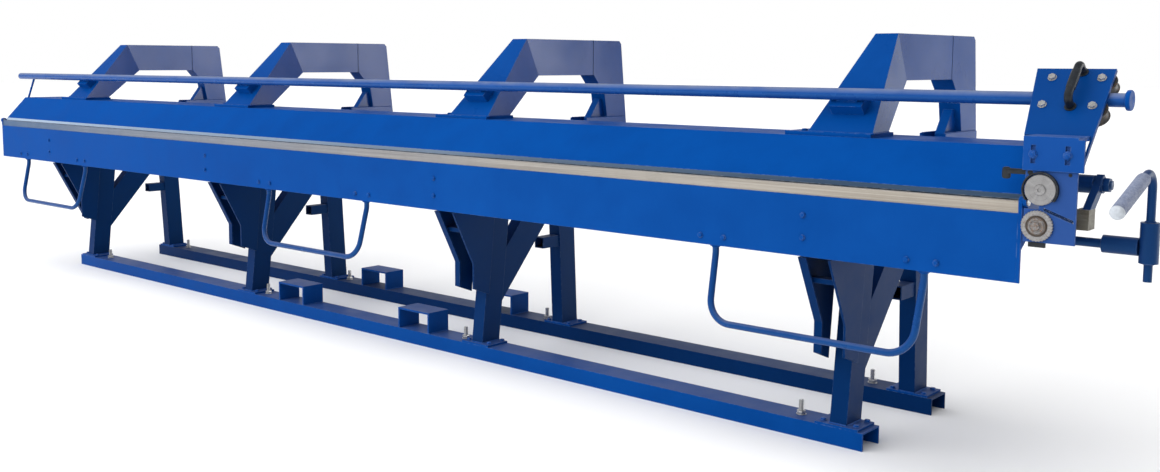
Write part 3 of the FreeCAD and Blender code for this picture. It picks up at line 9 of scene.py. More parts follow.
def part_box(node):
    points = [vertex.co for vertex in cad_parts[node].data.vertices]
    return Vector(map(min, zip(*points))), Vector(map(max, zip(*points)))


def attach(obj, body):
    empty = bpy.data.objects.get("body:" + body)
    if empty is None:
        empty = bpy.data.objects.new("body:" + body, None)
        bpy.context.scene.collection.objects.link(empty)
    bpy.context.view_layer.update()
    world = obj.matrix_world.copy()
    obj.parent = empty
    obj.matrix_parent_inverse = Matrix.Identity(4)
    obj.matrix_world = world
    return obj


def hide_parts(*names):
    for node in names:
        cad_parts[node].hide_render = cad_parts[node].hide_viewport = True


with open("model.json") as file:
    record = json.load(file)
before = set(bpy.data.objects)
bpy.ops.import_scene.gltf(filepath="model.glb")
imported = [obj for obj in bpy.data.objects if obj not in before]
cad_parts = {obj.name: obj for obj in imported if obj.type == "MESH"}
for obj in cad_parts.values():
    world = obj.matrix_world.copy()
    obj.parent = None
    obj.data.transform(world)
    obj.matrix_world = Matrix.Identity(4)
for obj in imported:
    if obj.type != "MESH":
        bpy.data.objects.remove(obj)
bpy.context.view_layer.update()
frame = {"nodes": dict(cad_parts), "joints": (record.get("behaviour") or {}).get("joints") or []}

bl_info = {
    "name": "Roofing sheet metal folder",
    "version": (1, 0, 0),
    "blender": (4, 5, 0),
    "location": "3D View > Sidebar > Folder",
    "description": "Finishes and fine detail for a roofing sheet metal folder",
    "category": "Object",
}

# Places are metres in the object's own frame: X along the bend line, -Y the
# operator's side, Z up from the floor. SLOPE points out of the carriage's
# sloping plate, along the rollers' axles.

NODES = frame["nodes"]
JOINTS = {joint["name"]: joint for joint in frame["joints"]}
UP = Vector((0, 0, 1))
FRONT = Vector((0, -1, 0))
RIGHT = Vector((1, 0, 0))
SLOPE = Vector(JOINTS["roller_1_spin"]["axis"])
SHARP = math.radians(35)


# Places in the CAD nodes

def middle(box):
    return (box[0] + box[1]) / 2


def corners(points):
    """Lowest and highest corner round some points."""
    return (Vector(min(point[i] for point in points) for i in range(3)),
            Vector(max(point[i] for point in points) for i in range(3)))


def connected(start):
    """Every vertex joined to these by edges."""
    seen = set(start)
    waiting = list(start)
    while waiting:
        for edge in waiting.pop().link_edges:
            for vertex in edge.verts:
                if vertex not in seen:
                    seen.add(vertex)
                    waiting.append(vertex)
    return list(seen)


def solids(node):
    """Lowest and highest corner of each separate solid of a CAD node."""
    mesh = bmesh.new()
    mesh.from_mesh(NODES[node].data)
    bmesh.ops.remove_doubles(mesh, verts=mesh.verts, dist=1e-6)
    seen, boxes = set(), []
    for first in mesh.verts:
        if first not in seen:
            solid = connected([first])
            seen.update(solid)
            boxes.append(corners([vertex.co for vertex in solid]))
    mesh.free()
    return sorted(boxes, key=lambda box: (round(box[0].x, 4), round(box[0].y, 4)))


def points_at(node, z):
    """Points of a CAD node at one height."""
    return [vertex.co for vertex in NODES[node].data.vertices if abs(vertex.co.z - z) < 1e-5]


def pivot(joint):
    return Vector(JOINTS[joint]["pos_m"])


# Sizes and colours

def metres(name, text, default, least=0.0):
    return bpy.props.FloatProperty(name=name, description=text, default=default, min=least,
                                   unit="LENGTH")


def swatch(name, text, default):
    return bpy.props.FloatVectorProperty(name=name, description=text, default=default, min=0,
                                         max=1, subtype="COLOR")


class FolderSizes(bpy.types.PropertyGroup):
    """Sizes of the fine detail"""
    edge_round: metres("Edge rounding", "Radius that softens the plates' edges", 0.0016, 0.0002)
    weld_radius: metres("Weld bead", "Radius of the welds between plates", 0.0034, 0.001)
    thread_pitch: metres("Thread pitch", "Pitch of the levelling studs' thread", 0.0025, 0.001)
    washer_thickness: metres(
        "Washer thickness", "Thickness of the washers under the bolts", 0.002, 0.0005)
    grip_rib_pitch: metres(
        "Grip rib pitch", "Distance between the ribs of the lever's grip", 0.0075, 0.002)
    knurl_depth: metres("Knurl depth", "Depth of the teeth round the lower blade", 0.002, 0.0002)
    seam_width: metres("Seam width", "Width of the seams across the swan neck arms", 0.004, 0.001)


class FolderColours(bpy.types.PropertyGroup):
    """Colours of the finishes"""
    enamel: swatch("Enamel", "Blue paint of the machine", (0.0016, 0.064, 0.30))
    enamel_shade: swatch("Enamel shade", "Deeper tone of the blue paint", (0.0010, 0.049, 0.245))
    # The dust colour also paints the highlight along the tops of the guide tube and lift handles
    dust: swatch("Dust", "Dust on level faces", (0.25, 0.27, 0.31))
    steel: swatch("Steel", "Bare machined steel", (0.56, 0.57, 0.58))
    rust: swatch("Rust", "Thin rust on worn steel", (0.16, 0.085, 0.045))
    strip: swatch("Folding strip", "Pale steel of the folding strip", (0.43, 0.395, 0.345))
    jaw: swatch("Jaws", "Dark steel of the two jaw bars", (0.035, 0.07, 0.13))
    black: swatch("Black", "Black handle, latch and guard", (0.006, 0.008, 0.011))
    grip: swatch("Grip", "Grey grip of the clamp lever", (0.165, 0.195, 0.29))
    grip_cap: swatch("Grip cap", "Pale end cap of the grip", (0.52, 0.56, 0.61))
    floor: swatch("Floor", "Pale studio floor", (0.93, 0.93, 0.93))


def sizes():
    return bpy.context.scene.folder_sizes


def colour(name):
    return (*getattr(bpy.context.scene.folder_colours, name), 1)


def toned(shade, tint, bright=0.0):
    """A colour made deeper or paler, with some even light added."""
    return (*(channel * tint + bright for channel in shade[:3]), 1)


# Node trees

def wire(tree, node, values):
    """Link or set a node's inputs."""
    for key, value in values.items():
        if isinstance(value, bpy.types.NodeSocket):
            tree.links.new(value, node.inputs[key])
        else:
            node.inputs[key].default_value = value
    return node


def put(tree, kind, values=None, **settings):
    node = tree.nodes.new("ShaderNode" + kind)
    for key, value in settings.items():
        setattr(node, key, value)
    return wire(tree, node, values or {})


def mixed(tree, factor, first, second, blend="MIX"):
    return put(tree, "Mix", {0: factor, 6: first, 7: second}, data_type="RGBA",
               blend_type=blend).outputs[2]


def worked(tree, operation, first, *others):
    """Chain of maths nodes that take in one value after the other."""
    for other in others:
        first = put(tree, "Math", {0: first, 1: other}, operation=operation).outputs[0]
    return first


def times(tree, *values):
    return worked(tree, "MULTIPLY", *values)


def plus(tree, *values):
    return worked(tree, "ADD", *values)


def pointed(tree, operation, first, second=(0, 0, 0), output="Vector"):
    return put(tree, "VectorMath", {0: first, 1: second}, operation=operation).outputs[output]


def spread(tree, value, low, high, to_low=0.0, to_high=1.0):
    return put(tree, "MapRange", {"Value": value, "From Min": low, "From Max": high,
                                  "To Min": to_low, "To Max": to_high}).outputs[0]


def noise(tree, where, scale, detail=3.0, roughness=0.5):
    return put(tree, "TexNoise", {"Vector": where, "Scale": scale, "Detail": detail,
                                  "Roughness": roughness}).outputs["Fac"]


def here(tree):
    return put(tree, "TexCoord").outputs["Object"]


def stretched(tree, where, scale):
    return put(tree, "Mapping", {"Vector": where, "Scale": scale}).outputs[0]


def part_of(tree, vector, axis):
    return put(tree, "SeparateXYZ", {0: vector}).outputs[axis]


def facing(tree, axis):
    """How far a face looks along an axis."""
    return part_of(tree, put(tree, "NewGeometry").outputs["Normal"], axis)


# Node groups that the finishes share

def edge_wear(tree, given):
    """Rounded edges, and a mask of the paint that is rubbed off along them."""
    rounded, wide = (put(tree, "Bevel", {"Radius": radius}, samples=4).outputs[0]
                     for radius in (given["Radius"], times(tree, given["Radius"], 2.2)))
    match = pointed(tree, "DOT_PRODUCT", wide, put(tree, "NewGeometry").outputs["Normal"],
                    "Value")
    bend = spread(tree, worked(tree, "SUBTRACT", 1.0, match), 0.03, 0.2)
    spots = spread(tree, noise(tree, here(tree), given["Scale"], 5.0), 0.42, 0.62)
    return {"Edge": times(tree, bend, spots, given["Amount"]), "Rounded": rounded}


def sprayed_paint(tree, given):
    """Brushed and sprayed enamel: broad change of tone, thin runs and orange peel."""
    where = here(tree)
    clouds = noise(tree, where, 7.0, 5.0, 0.6)
    runs = noise(tree, stretched(tree, where, (45, 45, 9)), 1.0, 4.0)
    tone = plus(tree, times(tree, noise(tree, where, 0.9), 0.55), times(tree, clouds, 0.45))
    base = mixed(tree, spread(tree, tone, 0.34, 0.66), given["Shade"], given["Colour"])
    base = mixed(tree, spread(tree, runs, 0.55, 0.8, 0.0, 0.22), base, given["Shade"])
    height = plus(tree, times(tree, noise(tree, where, 130.0, 2.0), 0.7),
                  times(tree, noise(tree, where, 420.0, 2.0), 0.3))
    rough = plus(tree, given["Gloss"], spread(tree, clouds, 0.3, 0.7, -0.07, 0.1))
    return {"Color": base, "Roughness": rough, "Height": height}


def dust_and_top_highlight(tree, given):
    """Mask of the dust that lies on faces that look up; with a low level it also lays a pale band
    along the top of round tubes, a painted highlight.
    """
    level = spread(tree, facing(tree, "Z"), given["Level"], 1.0)
    drift = spread(tree, noise(tree, here(tree), given["Scale"], 6.0, 0.65), 0.3, 0.72, 0.35, 1.0)
    return {"Mask": times(tree, level, drift, given["Amount"])}


def drawn_steel(tree, given):
    """Fine lines of rolled, ground or drawn steel along one direction."""
    where = here(tree)
    lines = noise(tree, stretched(tree, where, given["Stretch"]), 1.0, 5.0, 0.65)
    stains = noise(tree, where, 11.0, 5.0, 0.6)
    dark = mixed(tree, 1.0, given["Colour"], (0.62, 0.60, 0.58, 1), "MULTIPLY")
    base = mixed(tree, spread(tree, lines, 0.35, 0.7), dark, given["Colour"])
    base = mixed(tree, spread(tree, stains, 0.52, 0.75, 0.0, 0.45), base, dark)
    rough = plus(tree, given["Gloss"], spread(tree, stains, 0.3, 0.7, -0.08, 0.14))
    return {"Color": base, "Roughness": rough, "Height": lines}


def turning_marks(tree, given):
    """Fine rings and a fan of streaks round an axle that runs along Y."""
    arm = pointed(tree, "MULTIPLY", pointed(tree, "SUBTRACT", here(tree), given["Centre"]),
                  (1, 0, 1))
    reach = pointed(tree, "LENGTH", arm, output="Value")
    rings = worked(tree, "SINE", times(tree, reach, 5200.0), 0.0)
    fan = noise(tree, pointed(tree, "NORMALIZE", arm), 2.6, 3.0, 0.6)
    return {"Rings": spread(tree, rings, -1.0, 1.0), "Fan": spread(tree, fan, 0.35, 0.68),
            "Reach": reach}


def thin_rust(tree, given):
    """Blotches of thin rust."""
    where = here(tree)
    blotches = noise(tree, where, given["Scale"], 8.0, 0.7)
    grains = noise(tree, where, times(tree, given["Scale"], 6.0), 4.0)
    edge = worked(tree, "SUBTRACT", 0.72, times(tree, given["Amount"], 0.34))
    mask = spread(tree, worked(tree, "SUBTRACT", blotches, edge), -0.05, 0.09)
    return {"Mask": mask, "Tone": grains}


GROUPS = {
    "Edge wear": (edge_wear, {"Radius": 0.0016, "Amount": 0.5, "Scale": 70.0}),
    "Sprayed paint": (sprayed_paint, {"Colour": (0, 0, 1, 1), "Shade": (0, 0, 1, 1),
                                      "Gloss": 0.35}),
    "Dust and top highlight": (dust_and_top_highlight, {"Amount": 0.5, "Scale": 9.0, "Level": 0.8}),
    "Drawn steel": (drawn_steel, {"Colour": (0.5, 0.5, 0.5, 1), "Stretch": (4, 160, 160),
                                  "Gloss": 0.35}),
    "Turning marks": (turning_marks, {"Centre": (0, 0, 0)}),
    "Thin rust": (thin_rust, {"Amount": 0.5, "Scale": 60.0}),
}
KINDS = {"VALUE": "NodeSocketFloat", "VECTOR": "NodeSocketVector", "RGBA": "NodeSocketColor"}


def new_group(name):
    """Node group with the sockets that lead in and out of it."""
    maker, inputs = GROUPS[name]
    tree = bpy.data.node_groups.new(name, "ShaderNodeTree")
    for label, value in inputs.items():
        kind = "VALUE" if isinstance(value, float) else "RGBA" if len(value) == 4 else "VECTOR"
        tree.interface.new_socket(label, in_out="INPUT",
                                  socket_type=KINDS[kind]).default_value = value
    made = maker(tree, tree.nodes.new("NodeGroupInput").outputs)
    for label, socket in made.items():
        tree.interface.new_socket(label, in_out="OUTPUT", socket_type=KINDS[socket.type])
    wire(tree, tree.nodes.new("NodeGroupOutput"), made)
    return tree


def effect(tree, name, **values):
    """Place a shared group in a material."""
    node = tree.nodes.new("ShaderNodeGroup")
    node.node_tree = bpy.data.node_groups.get(name) or new_group(name)
    return wire(tree, node, values).outputs


# Finishes

def surface(tree, base, rough, bump, edges, values=None):
    """Wire a finish to its shader. The bump is a height, its strength and its distance."""
    height, strength, distance = bump
    normal = put(tree, "Bump", {"Height": height, "Strength": strength, "Distance": distance,
                                "Normal": edges["Rounded"]}).outputs[0]
    wire(tree, tree.nodes["Principled BSDF"],
         {"Base Color": base, "Roughness": rough, "Normal": normal, **(values or {})})


def enamel(tree, gloss, shine, dust, wear, tint, bright=0.0, side_sheen=0.0, level=0.8):
    """Blue machine enamel, with its own gloss, dust and rubbed edges, a painted sheen of clear
    coat on the sides that face +X, and with a low dust slope a painted highlight along round tops.
    """
    paint = effect(tree, "Sprayed paint", Colour=toned(colour("enamel"), tint, bright),
                   Shade=toned(colour("enamel_shade"), tint, bright * 0.7), Gloss=gloss)
    edges = effect(tree, "Edge wear", Radius=sizes().edge_round, Amount=wear)
    # Dust on faces that look up; with the low slope of the guide tube and handles it is a painted
    # highlight along their tops
    dust_and_highlight = effect(tree, "Dust and top highlight", Amount=dust, Level=level)["Mask"]
    rubbed = mixed(tree, edges["Edge"], paint["Color"], (0.16, 0.24, 0.42, 1))
    values = {"Specular IOR Level": shine, "Specular Tint": (0.25, 0.65, 1.0, 1),
              "Coat Tint": (0.56, 0.82, 1.0, 1)}
    # Painted sheen: the coat lies only on faces that look along +X, towards the bright wall
    if side_sheen:
        side = spread(tree, facing(tree, "X"), 0.8, 0.98, 0.0, side_sheen)
        patches = spread(tree, noise(tree, here(tree), 3.0, 4.0), 0.35, 0.65, 0.6, 1.0)
        values.update({"Coat Weight": times(tree, side, patches), "Coat Roughness": 0.22})
    surface(tree, mixed(tree, dust_and_highlight, rubbed, colour("dust")),
            plus(tree, paint["Roughness"], times(tree, dust_and_highlight, 0.5)),
            (paint["Height"], 0.25, 0.0004), edges, values)


def steel(tree, gloss, stretch, rust, tint, metallic):
    """Bare or plated steel with fine lines, stains and some rust."""
    drawn = effect(tree, "Drawn steel", Colour=toned(colour("steel"), tint), Stretch=stretch,
                   Gloss=gloss)
    edges = effect(tree, "Edge wear", Radius=sizes().edge_round * 0.5, Amount=0.6)
    rusted = effect(tree, "Thin rust", Amount=rust)["Mask"]
    bright = mixed(tree, edges["Edge"], drawn["Color"], (0.8, 0.8, 0.8, 1))
    surface(tree, mixed(tree, rusted, bright, colour("rust")),
            plus(tree, drawn["Roughness"], times(tree, rusted, 0.4)),
            (drawn["Height"], 0.2, 0.0003), edges,
            {"Metallic": spread(tree, rusted, 0.0, 1.0, metallic, 0.1)})


def blade_steel(tree, joint, rust, tint, metallic, mottled=0.0):
    """Turned steel: rings, a fan of streaks, mottling and a brown ring round its axle."""
    marks = effect(tree, "Turning marks", Centre=pivot(joint))
    edges = effect(tree, "Edge wear", Radius=sizes().edge_round * 0.5, Amount=0.5)
    rusted = effect(tree, "Thin rust", Amount=rust, Scale=90.0)
    mask = rusted["Mask"]
    base = mixed(tree, times(tree, marks["Fan"], 0.45), toned((0.40, 0.395, 0.40), tint),
                 toned((0.20, 0.195, 0.195), tint))
    base = mixed(tree, edges["Edge"], base, (0.72, 0.71, 0.70, 1))
    rust_tone = mixed(tree, rusted["Tone"], colour("rust"), (0.33, 0.22, 0.15, 1))
    base = mixed(tree, mask, base, rust_tone)
    if mottled:
        spots = spread(tree, noise(tree, here(tree), 260.0, 6.0, 0.75), 0.47, 0.60)
        base = mixed(tree, times(tree, spots, mottled), base, (0.10, 0.085, 0.075, 1))
        ring = times(tree, spread(tree, marks["Reach"], 0.0215, 0.0240),
                     spread(tree, marks["Reach"], 0.0265, 0.0290, 1.0, 0.0))
        base = mixed(tree, ring, base, (0.055, 0.038, 0.026, 1))
    rough = plus(tree, spread(tree, marks["Fan"], 0.0, 1.0, 0.32, 0.46), times(tree, mask, 0.35))
    height = plus(tree, times(tree, marks["Rings"], 0.5), times(tree, mask, 0.5))
    surface(tree, base, rough, (height, 0.35, 0.0003), edges,
            {"Metallic": spread(tree, mask, 0.0, 1.0, metallic, 0.05)})


def rolled_steel(tree, right, left, gloss):
    """Rolled bar whose tone changes from the left end to the right end; on the jaws the pale left
    end is a painted highlight.
    """
    where = here(tree)
    drawn = effect(tree, "Drawn steel", Colour=colour(right), Stretch=(1.2, 240, 240), Gloss=gloss)
    edges = effect(tree, "Edge wear", Radius=sizes().edge_round, Amount=0.6)
    rusted = effect(tree, "Thin rust", Amount=0.12, Scale=34.0)["Mask"]
    patches = times(tree, spread(tree, noise(tree, where, 1.4, 4.0), 0.3, 0.7), 0.9)
    cool = spread(tree, plus(tree, part_of(tree, where, "X"), patches), -2.9, 2.7, 1.0, 0.0)
    base = mixed(tree, cool, drawn["Color"], left)
    base = mixed(tree, edges["Edge"], base, mixed(tree, 0.5, base, (0.60, 0.62, 0.64, 1)))
    base = mixed(tree, times(tree, rusted, 0.4), base, colour("rust"))
    surface(tree, base, drawn["Roughness"], (drawn["Height"], 0.3, 0.0004), edges,
            {"Metallic": 0.12, "Specular IOR Level": 0.2})


def black_finish(tree, gloss, fine):
    """Black plastic or blackened steel, worn grey along its edges."""
    where = here(tree)
    clouds = noise(tree, where, 34.0, 5.0, 0.6)
    edges = effect(tree, "Edge wear", Radius=sizes().edge_round, Amount=0.6, Scale=120.0)
    dust_and_highlight = effect(tree, "Dust and top highlight", Amount=0.12, Scale=40.0)["Mask"]
    base = mixed(tree, spread(tree, clouds, 0.35, 0.7), colour("black"), (0.016, 0.020, 0.026, 1))
    base = mixed(tree, edges["Edge"], base, (0.11, 0.12, 0.13, 1))
    surface(tree, mixed(tree, dust_and_highlight, base, colour("dust")),
            spread(tree, clouds, 0.3, 0.7, gloss, gloss + 0.16),
            (noise(tree, where, fine, 2.0), 0.3, 0.0003), edges, {"Specular IOR Level": 0.35})


def grip_foam(tree, tone):
    """Moulded grip: pores, a little grime in the ribs and paler rubbed crests."""
    where = here(tree)
    grime = noise(tree, where, 38.0, 6.0, 0.65)
    edges = effect(tree, "Edge wear", Radius=0.0012, Amount=0.7, Scale=160.0)
    dirty = mixed(tree, 1.0, colour(tone), (0.55, 0.55, 0.56, 1), "MULTIPLY")
    base = mixed(tree, spread(tree, grime, 0.48, 0.74, 0.0, 0.6), colour(tone), dirty)
    surface(tree, mixed(tree, edges["Edge"], base, (0.60, 0.63, 0.68, 1)),
            spread(tree, grime, 0.3, 0.7, 0.5, 0.72),
            (noise(tree, where, 900.0, 3.0, 0.6), 0.35, 0.0003), edges)


def oxidised(tree):
    """Unpainted steel with beige and brown oxide."""
    drawn = effect(tree, "Drawn steel", Colour=(0.17, 0.16, 0.125, 1), Stretch=(30, 30, 200),
                   Gloss=0.48)
    edges = effect(tree, "Edge wear", Radius=sizes().edge_round, Amount=0.9)
    rusted = effect(tree, "Thin rust", Amount=0.55, Scale=30.0)["Mask"]
    base = mixed(tree, times(tree, rusted, 0.7), drawn["Color"], (0.075, 0.058, 0.038, 1))
    surface(tree, mixed(tree, edges["Edge"], base, (0.42, 0.40, 0.34, 1)), drawn["Roughness"],
            (drawn["Height"], 0.35, 0.0005), edges, {"Metallic": 0.35})


def pale_floor(tree):
    """Matt floor with faint clouds of tone."""
    clouds = spread(tree, noise(tree, here(tree), 0.6), 0.3, 0.7)
    tone = mixed(tree, clouds, colour("floor"), toned(colour("floor"), 0.985))
    wire(tree, tree.nodes["Principled BSDF"],
         {"Base Color": tone, "Roughness": 0.9, "Specular IOR Level": 0.0})


FINISHES = {
    # Gloss, shine, dust, wear and tint, then brightening, side sheen and the slope that holds
    # dust; the side sheen is a painted sheen, and a low slope makes the dust a painted highlight
    # along round tops
    "Frame enamel": (enamel, 0.4, 0.12, 0.3, 0.5, 1.0),
    # Painted shade: a deep copy of the blue for the legs, braces, cheeks and rear rail, which
    # stand in the shade under the beam
    "Shaded leg enamel": (enamel, 0.42, 0.1, 0.2, 0.4, 0.36),
    "Rail enamel": (enamel, 0.36, 0.06, 0.2, 0.6, 0.85),
    "Beam enamel": (enamel, 0.4, 0.012, 0.05, 0.45, 0.92),
    "Apron enamel": (enamel, 0.44, 0.03, 0.2, 0.5, 0.94, 0.002),
    # The arms' side sheen is a painted sheen on the faces turned to +X
    "Arm enamel": (enamel, 0.3, 0.03, 0.25, 0.45, 0.84, 0.0, 0.78),
    # The guide tube's heavy dust on a low slope is a painted highlight along its top
    "Tube enamel": (enamel, 0.26, 0.4, 0.75, 0.4, 0.9, 0.008, 0.0, 0.1),
    "Carriage enamel": (enamel, 0.36, 0.1, 0.1, 0.5, 0.72),
    "Slitter plate enamel": (enamel, 0.4, 0.05, 0.2, 0.6, 0.95, 0.008),
    "Blade plate enamel": (enamel, 0.44, 0.1, 0.2, 0.7, 0.78, 0.026),
    "Lever enamel": (enamel, 0.32, 0.3, 0.2, 0.55, 0.36, 0.004),
    # The handles' dust on a low slope is a painted highlight along their tops as well as dust
    "Handle enamel": (enamel, 0.24, 0.5, 0.3, 0.7, 0.62, 0.004, 0.0, 0.3),
    "Seam shadow": (enamel, 0.5, 0.12, 0.1, 0.0, 0.3),
    # Gloss, scale of the lines, rust, tint and metal
    "Pin steel": (steel, 0.3, (160, 60, 60), 0.2, 1.0, 0.9),
    "Zinc plate": (steel, 0.24, (90, 90, 20), 0.0, 1.15, 0.7),
    "Roller steel": (steel, 0.42, (70, 70, 70), 0.4, 0.09, 0.5),
    # Axle, rust, tint, metal and mottling
    "Upper blade steel": (blade_steel, "upper_blade_spin", 0.06, 0.82, 0.55),
    "Lower blade steel": (blade_steel, "lower_blade_spin", 0.3, 0.85, 0.45, 0.45),
    "Bearing steel": (blade_steel, "lower_blade_spin", 0.6, 0.6, 0.3, 0.8),
    # Tone of the right end, tone of the left end and gloss
    # The jaws' pale left tone is a painted highlight; towards the right end they go dark
    "Jaw steel": (rolled_steel, "jaw", (0.33, 0.42, 0.55, 1), 0.4),
    "Rolled folding strip": (rolled_steel, "strip", (0.065, 0.115, 0.205, 1), 0.42),
    # Gloss and scale of the pores
    "Black plastic": (black_finish, 0.34, 500.0),
    "Blackened steel": (black_finish, 0.42, 300.0),
    "Grip foam": (grip_foam, "grip"),
    "Grip cap": (grip_foam, "grip_cap"),
    "Oxidised block": (oxidised,),
    "Studio floor": (pale_floor,),
}


def finish(name):
    """The material of this name, made when it is first asked for."""
    material = bpy.data.materials.get(name)
    if not material:
        material = bpy.data.materials.new(name)
        material.use_nodes = True
        maker, *values = FINISHES[name]
        maker(material.node_tree, *values)
    return material


# Shapes

def aim(place, out=UP, turn=0.0):
    """Matrix that takes a shape drawn up the Z axis to a place and direction."""
    turned = Vector(out).to_track_quat("Z", "Y").to_matrix().to_4x4()
    return Matrix.Translation(Vector(place)) @ turned @ Matrix.Rotation(turn, 4, "Z")


def lathe(mesh, outline, where, steps):
    """Turn an outline of radius and height round the Z axis and put it in place."""
    points = [mesh.verts.new((radius, 0, height)) for radius, height in outline]
    edges = [mesh.edges.new(pair) for pair in zip(points, points[1:])]
    bmesh.ops.spin(mesh, geom=points + edges, axis=(0, 0, 1), cent=(0, 0, 0), dvec=(0, 0, 0),
                   angle=math.tau, steps=steps, use_merge=True)
    shape = connected(points)
    bmesh.ops.remove_doubles(mesh, verts=shape, dist=1e-7)
    shape = connected([vertex for vertex in shape if vertex.is_valid][:1])
    faces = {face for vertex in shape for face in vertex.link_faces}
    bmesh.ops.recalc_face_normals(mesh, faces=list(faces))
    bmesh.ops.transform(mesh, matrix=where, verts=shape)


def disc(mesh, place, out, radius, height, round_off, steps, inner=0.0):
    """Disc with rounded rims, or a ring if it has an inner radius."""
    cut = round_off * 0.3
    outline = [(inner, 0), (radius - round_off, 0), (radius - cut, cut), (radius, round_off),
               (radius, height - round_off), (radius - cut, height - cut),
               (radius - round_off, height), (inner, height)]
    if inner:
        outline.append(outline[0])
    lathe(mesh, outline, aim(place, out), steps)


def chamfered(mesh, before, edges, offset, segments, where):
    """Round some edges of the shape added since, and put it in place."""
    bmesh.ops.bevel(mesh, geom=edges, offset=offset, affect="EDGES", segments=segments,
                    profile=0.5, material=-1)
    shape = [vertex for vertex in mesh.verts if vertex not in before]
    bmesh.ops.transform(mesh, matrix=where, verts=shape)


def block(mesh, size, where, chamfer, segments=2):
    """Box with rounded edges, centred on its place."""
    before = set(mesh.verts)
    made = bmesh.ops.create_cube(mesh, size=1.0)["verts"]
    bmesh.ops.scale(mesh, vec=size, verts=made)
    edges = list({edge for vertex in made for edge in vertex.link_edges})
    chamfered(mesh, before, edges, chamfer, segments, where)


def hexagon(mesh, place, out, radius, height, turn):
    """Hexagon head or nut with its rims chamfered."""
    before = set(mesh.verts)
    made = bmesh.ops.create_cone(mesh, cap_ends=True, segments=6, radius1=radius,
                                 radius2=radius, depth=height)["verts"]
    rims = [edge for edge in {edge for vertex in made for edge in vertex.link_edges}
            if abs(edge.verts[0].co.z - edge.verts[1].co.z) < 1e-9]
    chamfered(mesh, before, rims, radius * 0.11, 2,
              aim(place, out, turn) @ Matrix.Translation((0, 0, height / 2)))


def screwed(mesh, place, out, head, height, turn):
    """Washer, chamfered head and the rounded end of the thread on a face."""
    place, out = Vector(place), Vector(out)
    washer = sizes().washer_thickness
    disc(mesh, place, out, head * 1.12, washer, washer * 0.3, 24)
    hexagon(mesh, place + out * washer, out, head * 0.98, height - washer, turn)
    lathe(mesh, [(0, 0), (head * 0.62, 0), (head * 0.56, head * 0.05), (0, head * 0.07)],
          aim(place + out * height, out), 18)


def bolts_of(node, face, out, head, turn):
    """Bolts with washers for the plain ones of a node, on a level or a front face."""
    mesh = bmesh.new()
    for low, high in solids(node):
        x, y, z = middle((low, high))
        if out == UP:
            screwed(mesh, (x, y, face), out, head, high.z - face, x * turn)
        else:
            screwed(mesh, (x, face, z), out, head, face - low.y, x * turn)
    return mesh


def threaded(mesh, place, out, radius, length, pitch, steps=20):
    """Threaded rod with chamfered ends."""
    outline = [(0, 0), (radius * 0.8, 0)]
    for i in range(int(length / pitch)):
        outline += [(radius * 0.88, (i + 0.3) * pitch), (radius, (i + 0.6) * pitch)]
    outline += [(radius * 0.8, length), (0, length)]
    lathe(mesh, outline, aim(place, out), steps)


def weld(mesh, start, end):
    """Rippled bead along a line."""
    start, run = Vector(start), Vector(end) - Vector(start)
    radius = sizes().weld_radius
    count = max(3, int(run.length / (radius * 1.5)))
    step = run.length / count
    outline = [(0, 0)]
    for i in range(count):
        swell = 1.0 + 0.08 * math.sin(i * 2.1)
        outline += [(radius * 0.78, (i + 0.12) * step), (radius * swell, (i + 0.6) * step)]
    outline.append((0, run.length))
    lathe(mesh, outline, aim(start, run), 8)


def weld_loop(mesh, foot, z):
    """Bead round the foot of a tube that stands on a level face."""
    for start, end in zip(foot, foot[1:] + foot[:1]):
        weld(mesh, (*start, z), (*end, z))


def thing_of(name, mesh, material):
    """Object of a bmesh, with its finish."""
    data = bpy.data.meshes.new(name)
    mesh.to_mesh(data)
    mesh.free()
    data.materials.append(finish(material))
    thing = bpy.data.objects.new(name, data)
    bpy.context.scene.collection.objects.link(thing)
    return thing


def piece(name, mesh, material, body, replaces=()):
    """Make a finished piece of a bmesh, and set it on its body."""
    thing = thing_of(name, mesh, material)
    thing.data.shade_smooth()
    thing.data.set_sharp_from_angle(angle=SHARP)
    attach(thing, body)
    if replaces:
        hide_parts(*replaces)


# Operators

class FOLDER_OT_paint(bpy.types.Operator):
    """Give every carried-over solid its finish"""
    bl_idname = "folder.paint"
    bl_label = "Paint the folder"

    finishes = {
        "Rail enamel": "base_rail_front fork_pockets foot_plates",
        # Painted shade: the legs and rear rail get a deep copy of the blue for the shade under the
        # beam
        "Shaded leg enamel": "base_rail_rear front_legs rear_legs leg_braces leg_cheeks",
        "Frame enamel": "lower_beam beam_end_plates throat_arms pivot_lugs foot_bolts",
        "Beam enamel": "clamp_beam arm_base_plates tube_strut tube_saddles",
        "Arm enamel": "swan_neck_arms columns column_foot_plates column_ribs",
        "Tube enamel": "guide_tube",
        "Apron enamel": "apron_channel apron_ears apron_ribs apron_bolts",
        "Handle enamel": "lift_handles",
        "Carriage enamel": "carriage_plate",
        "Slitter plate enamel": "slide_plate clip_bolts",
        "Blade plate enamel": "blade_plate",
        "Lever enamel": "tube_end_stop clamp_shaft shaft_sleeve lever_hub lever_bar "
                        "end_stud adjusting_link adjusting_nut",
        "Jaw steel": "fixed_jaw clamp_jaw",
        "Pin steel": "apron_hinge_pins pivot_pins pivot_bushes",
        "Zinc plate": "levelling_studs arm_base_bolts roller_axles carriage_pins",
        "Roller steel": "roller_1 roller_2 roller_3 roller_4",
        "Upper blade steel": "upper_blade",
        "Lower blade steel": "lower_blade",
        "Rolled folding strip": "folding_strip",
        "Black plastic": "bow_handle blade_latch",
        "Blackened steel": "blade_guard_ring",
        "Grip foam": "lever_grip",
        "Oxidised block": "adjusting_block",
    }

    def execute(self, context):
        for name, nodes in self.finishes.items():
            for node in nodes.split():
                data = NODES[node].data
                data.materials.clear()
                data.materials.append(finish(name))
        bare = [name for name, node in NODES.items() if not node.data.materials]
        if bare:
            raise RuntimeError("No finish for " + ", ".join(bare))
        return {"FINISHED"}


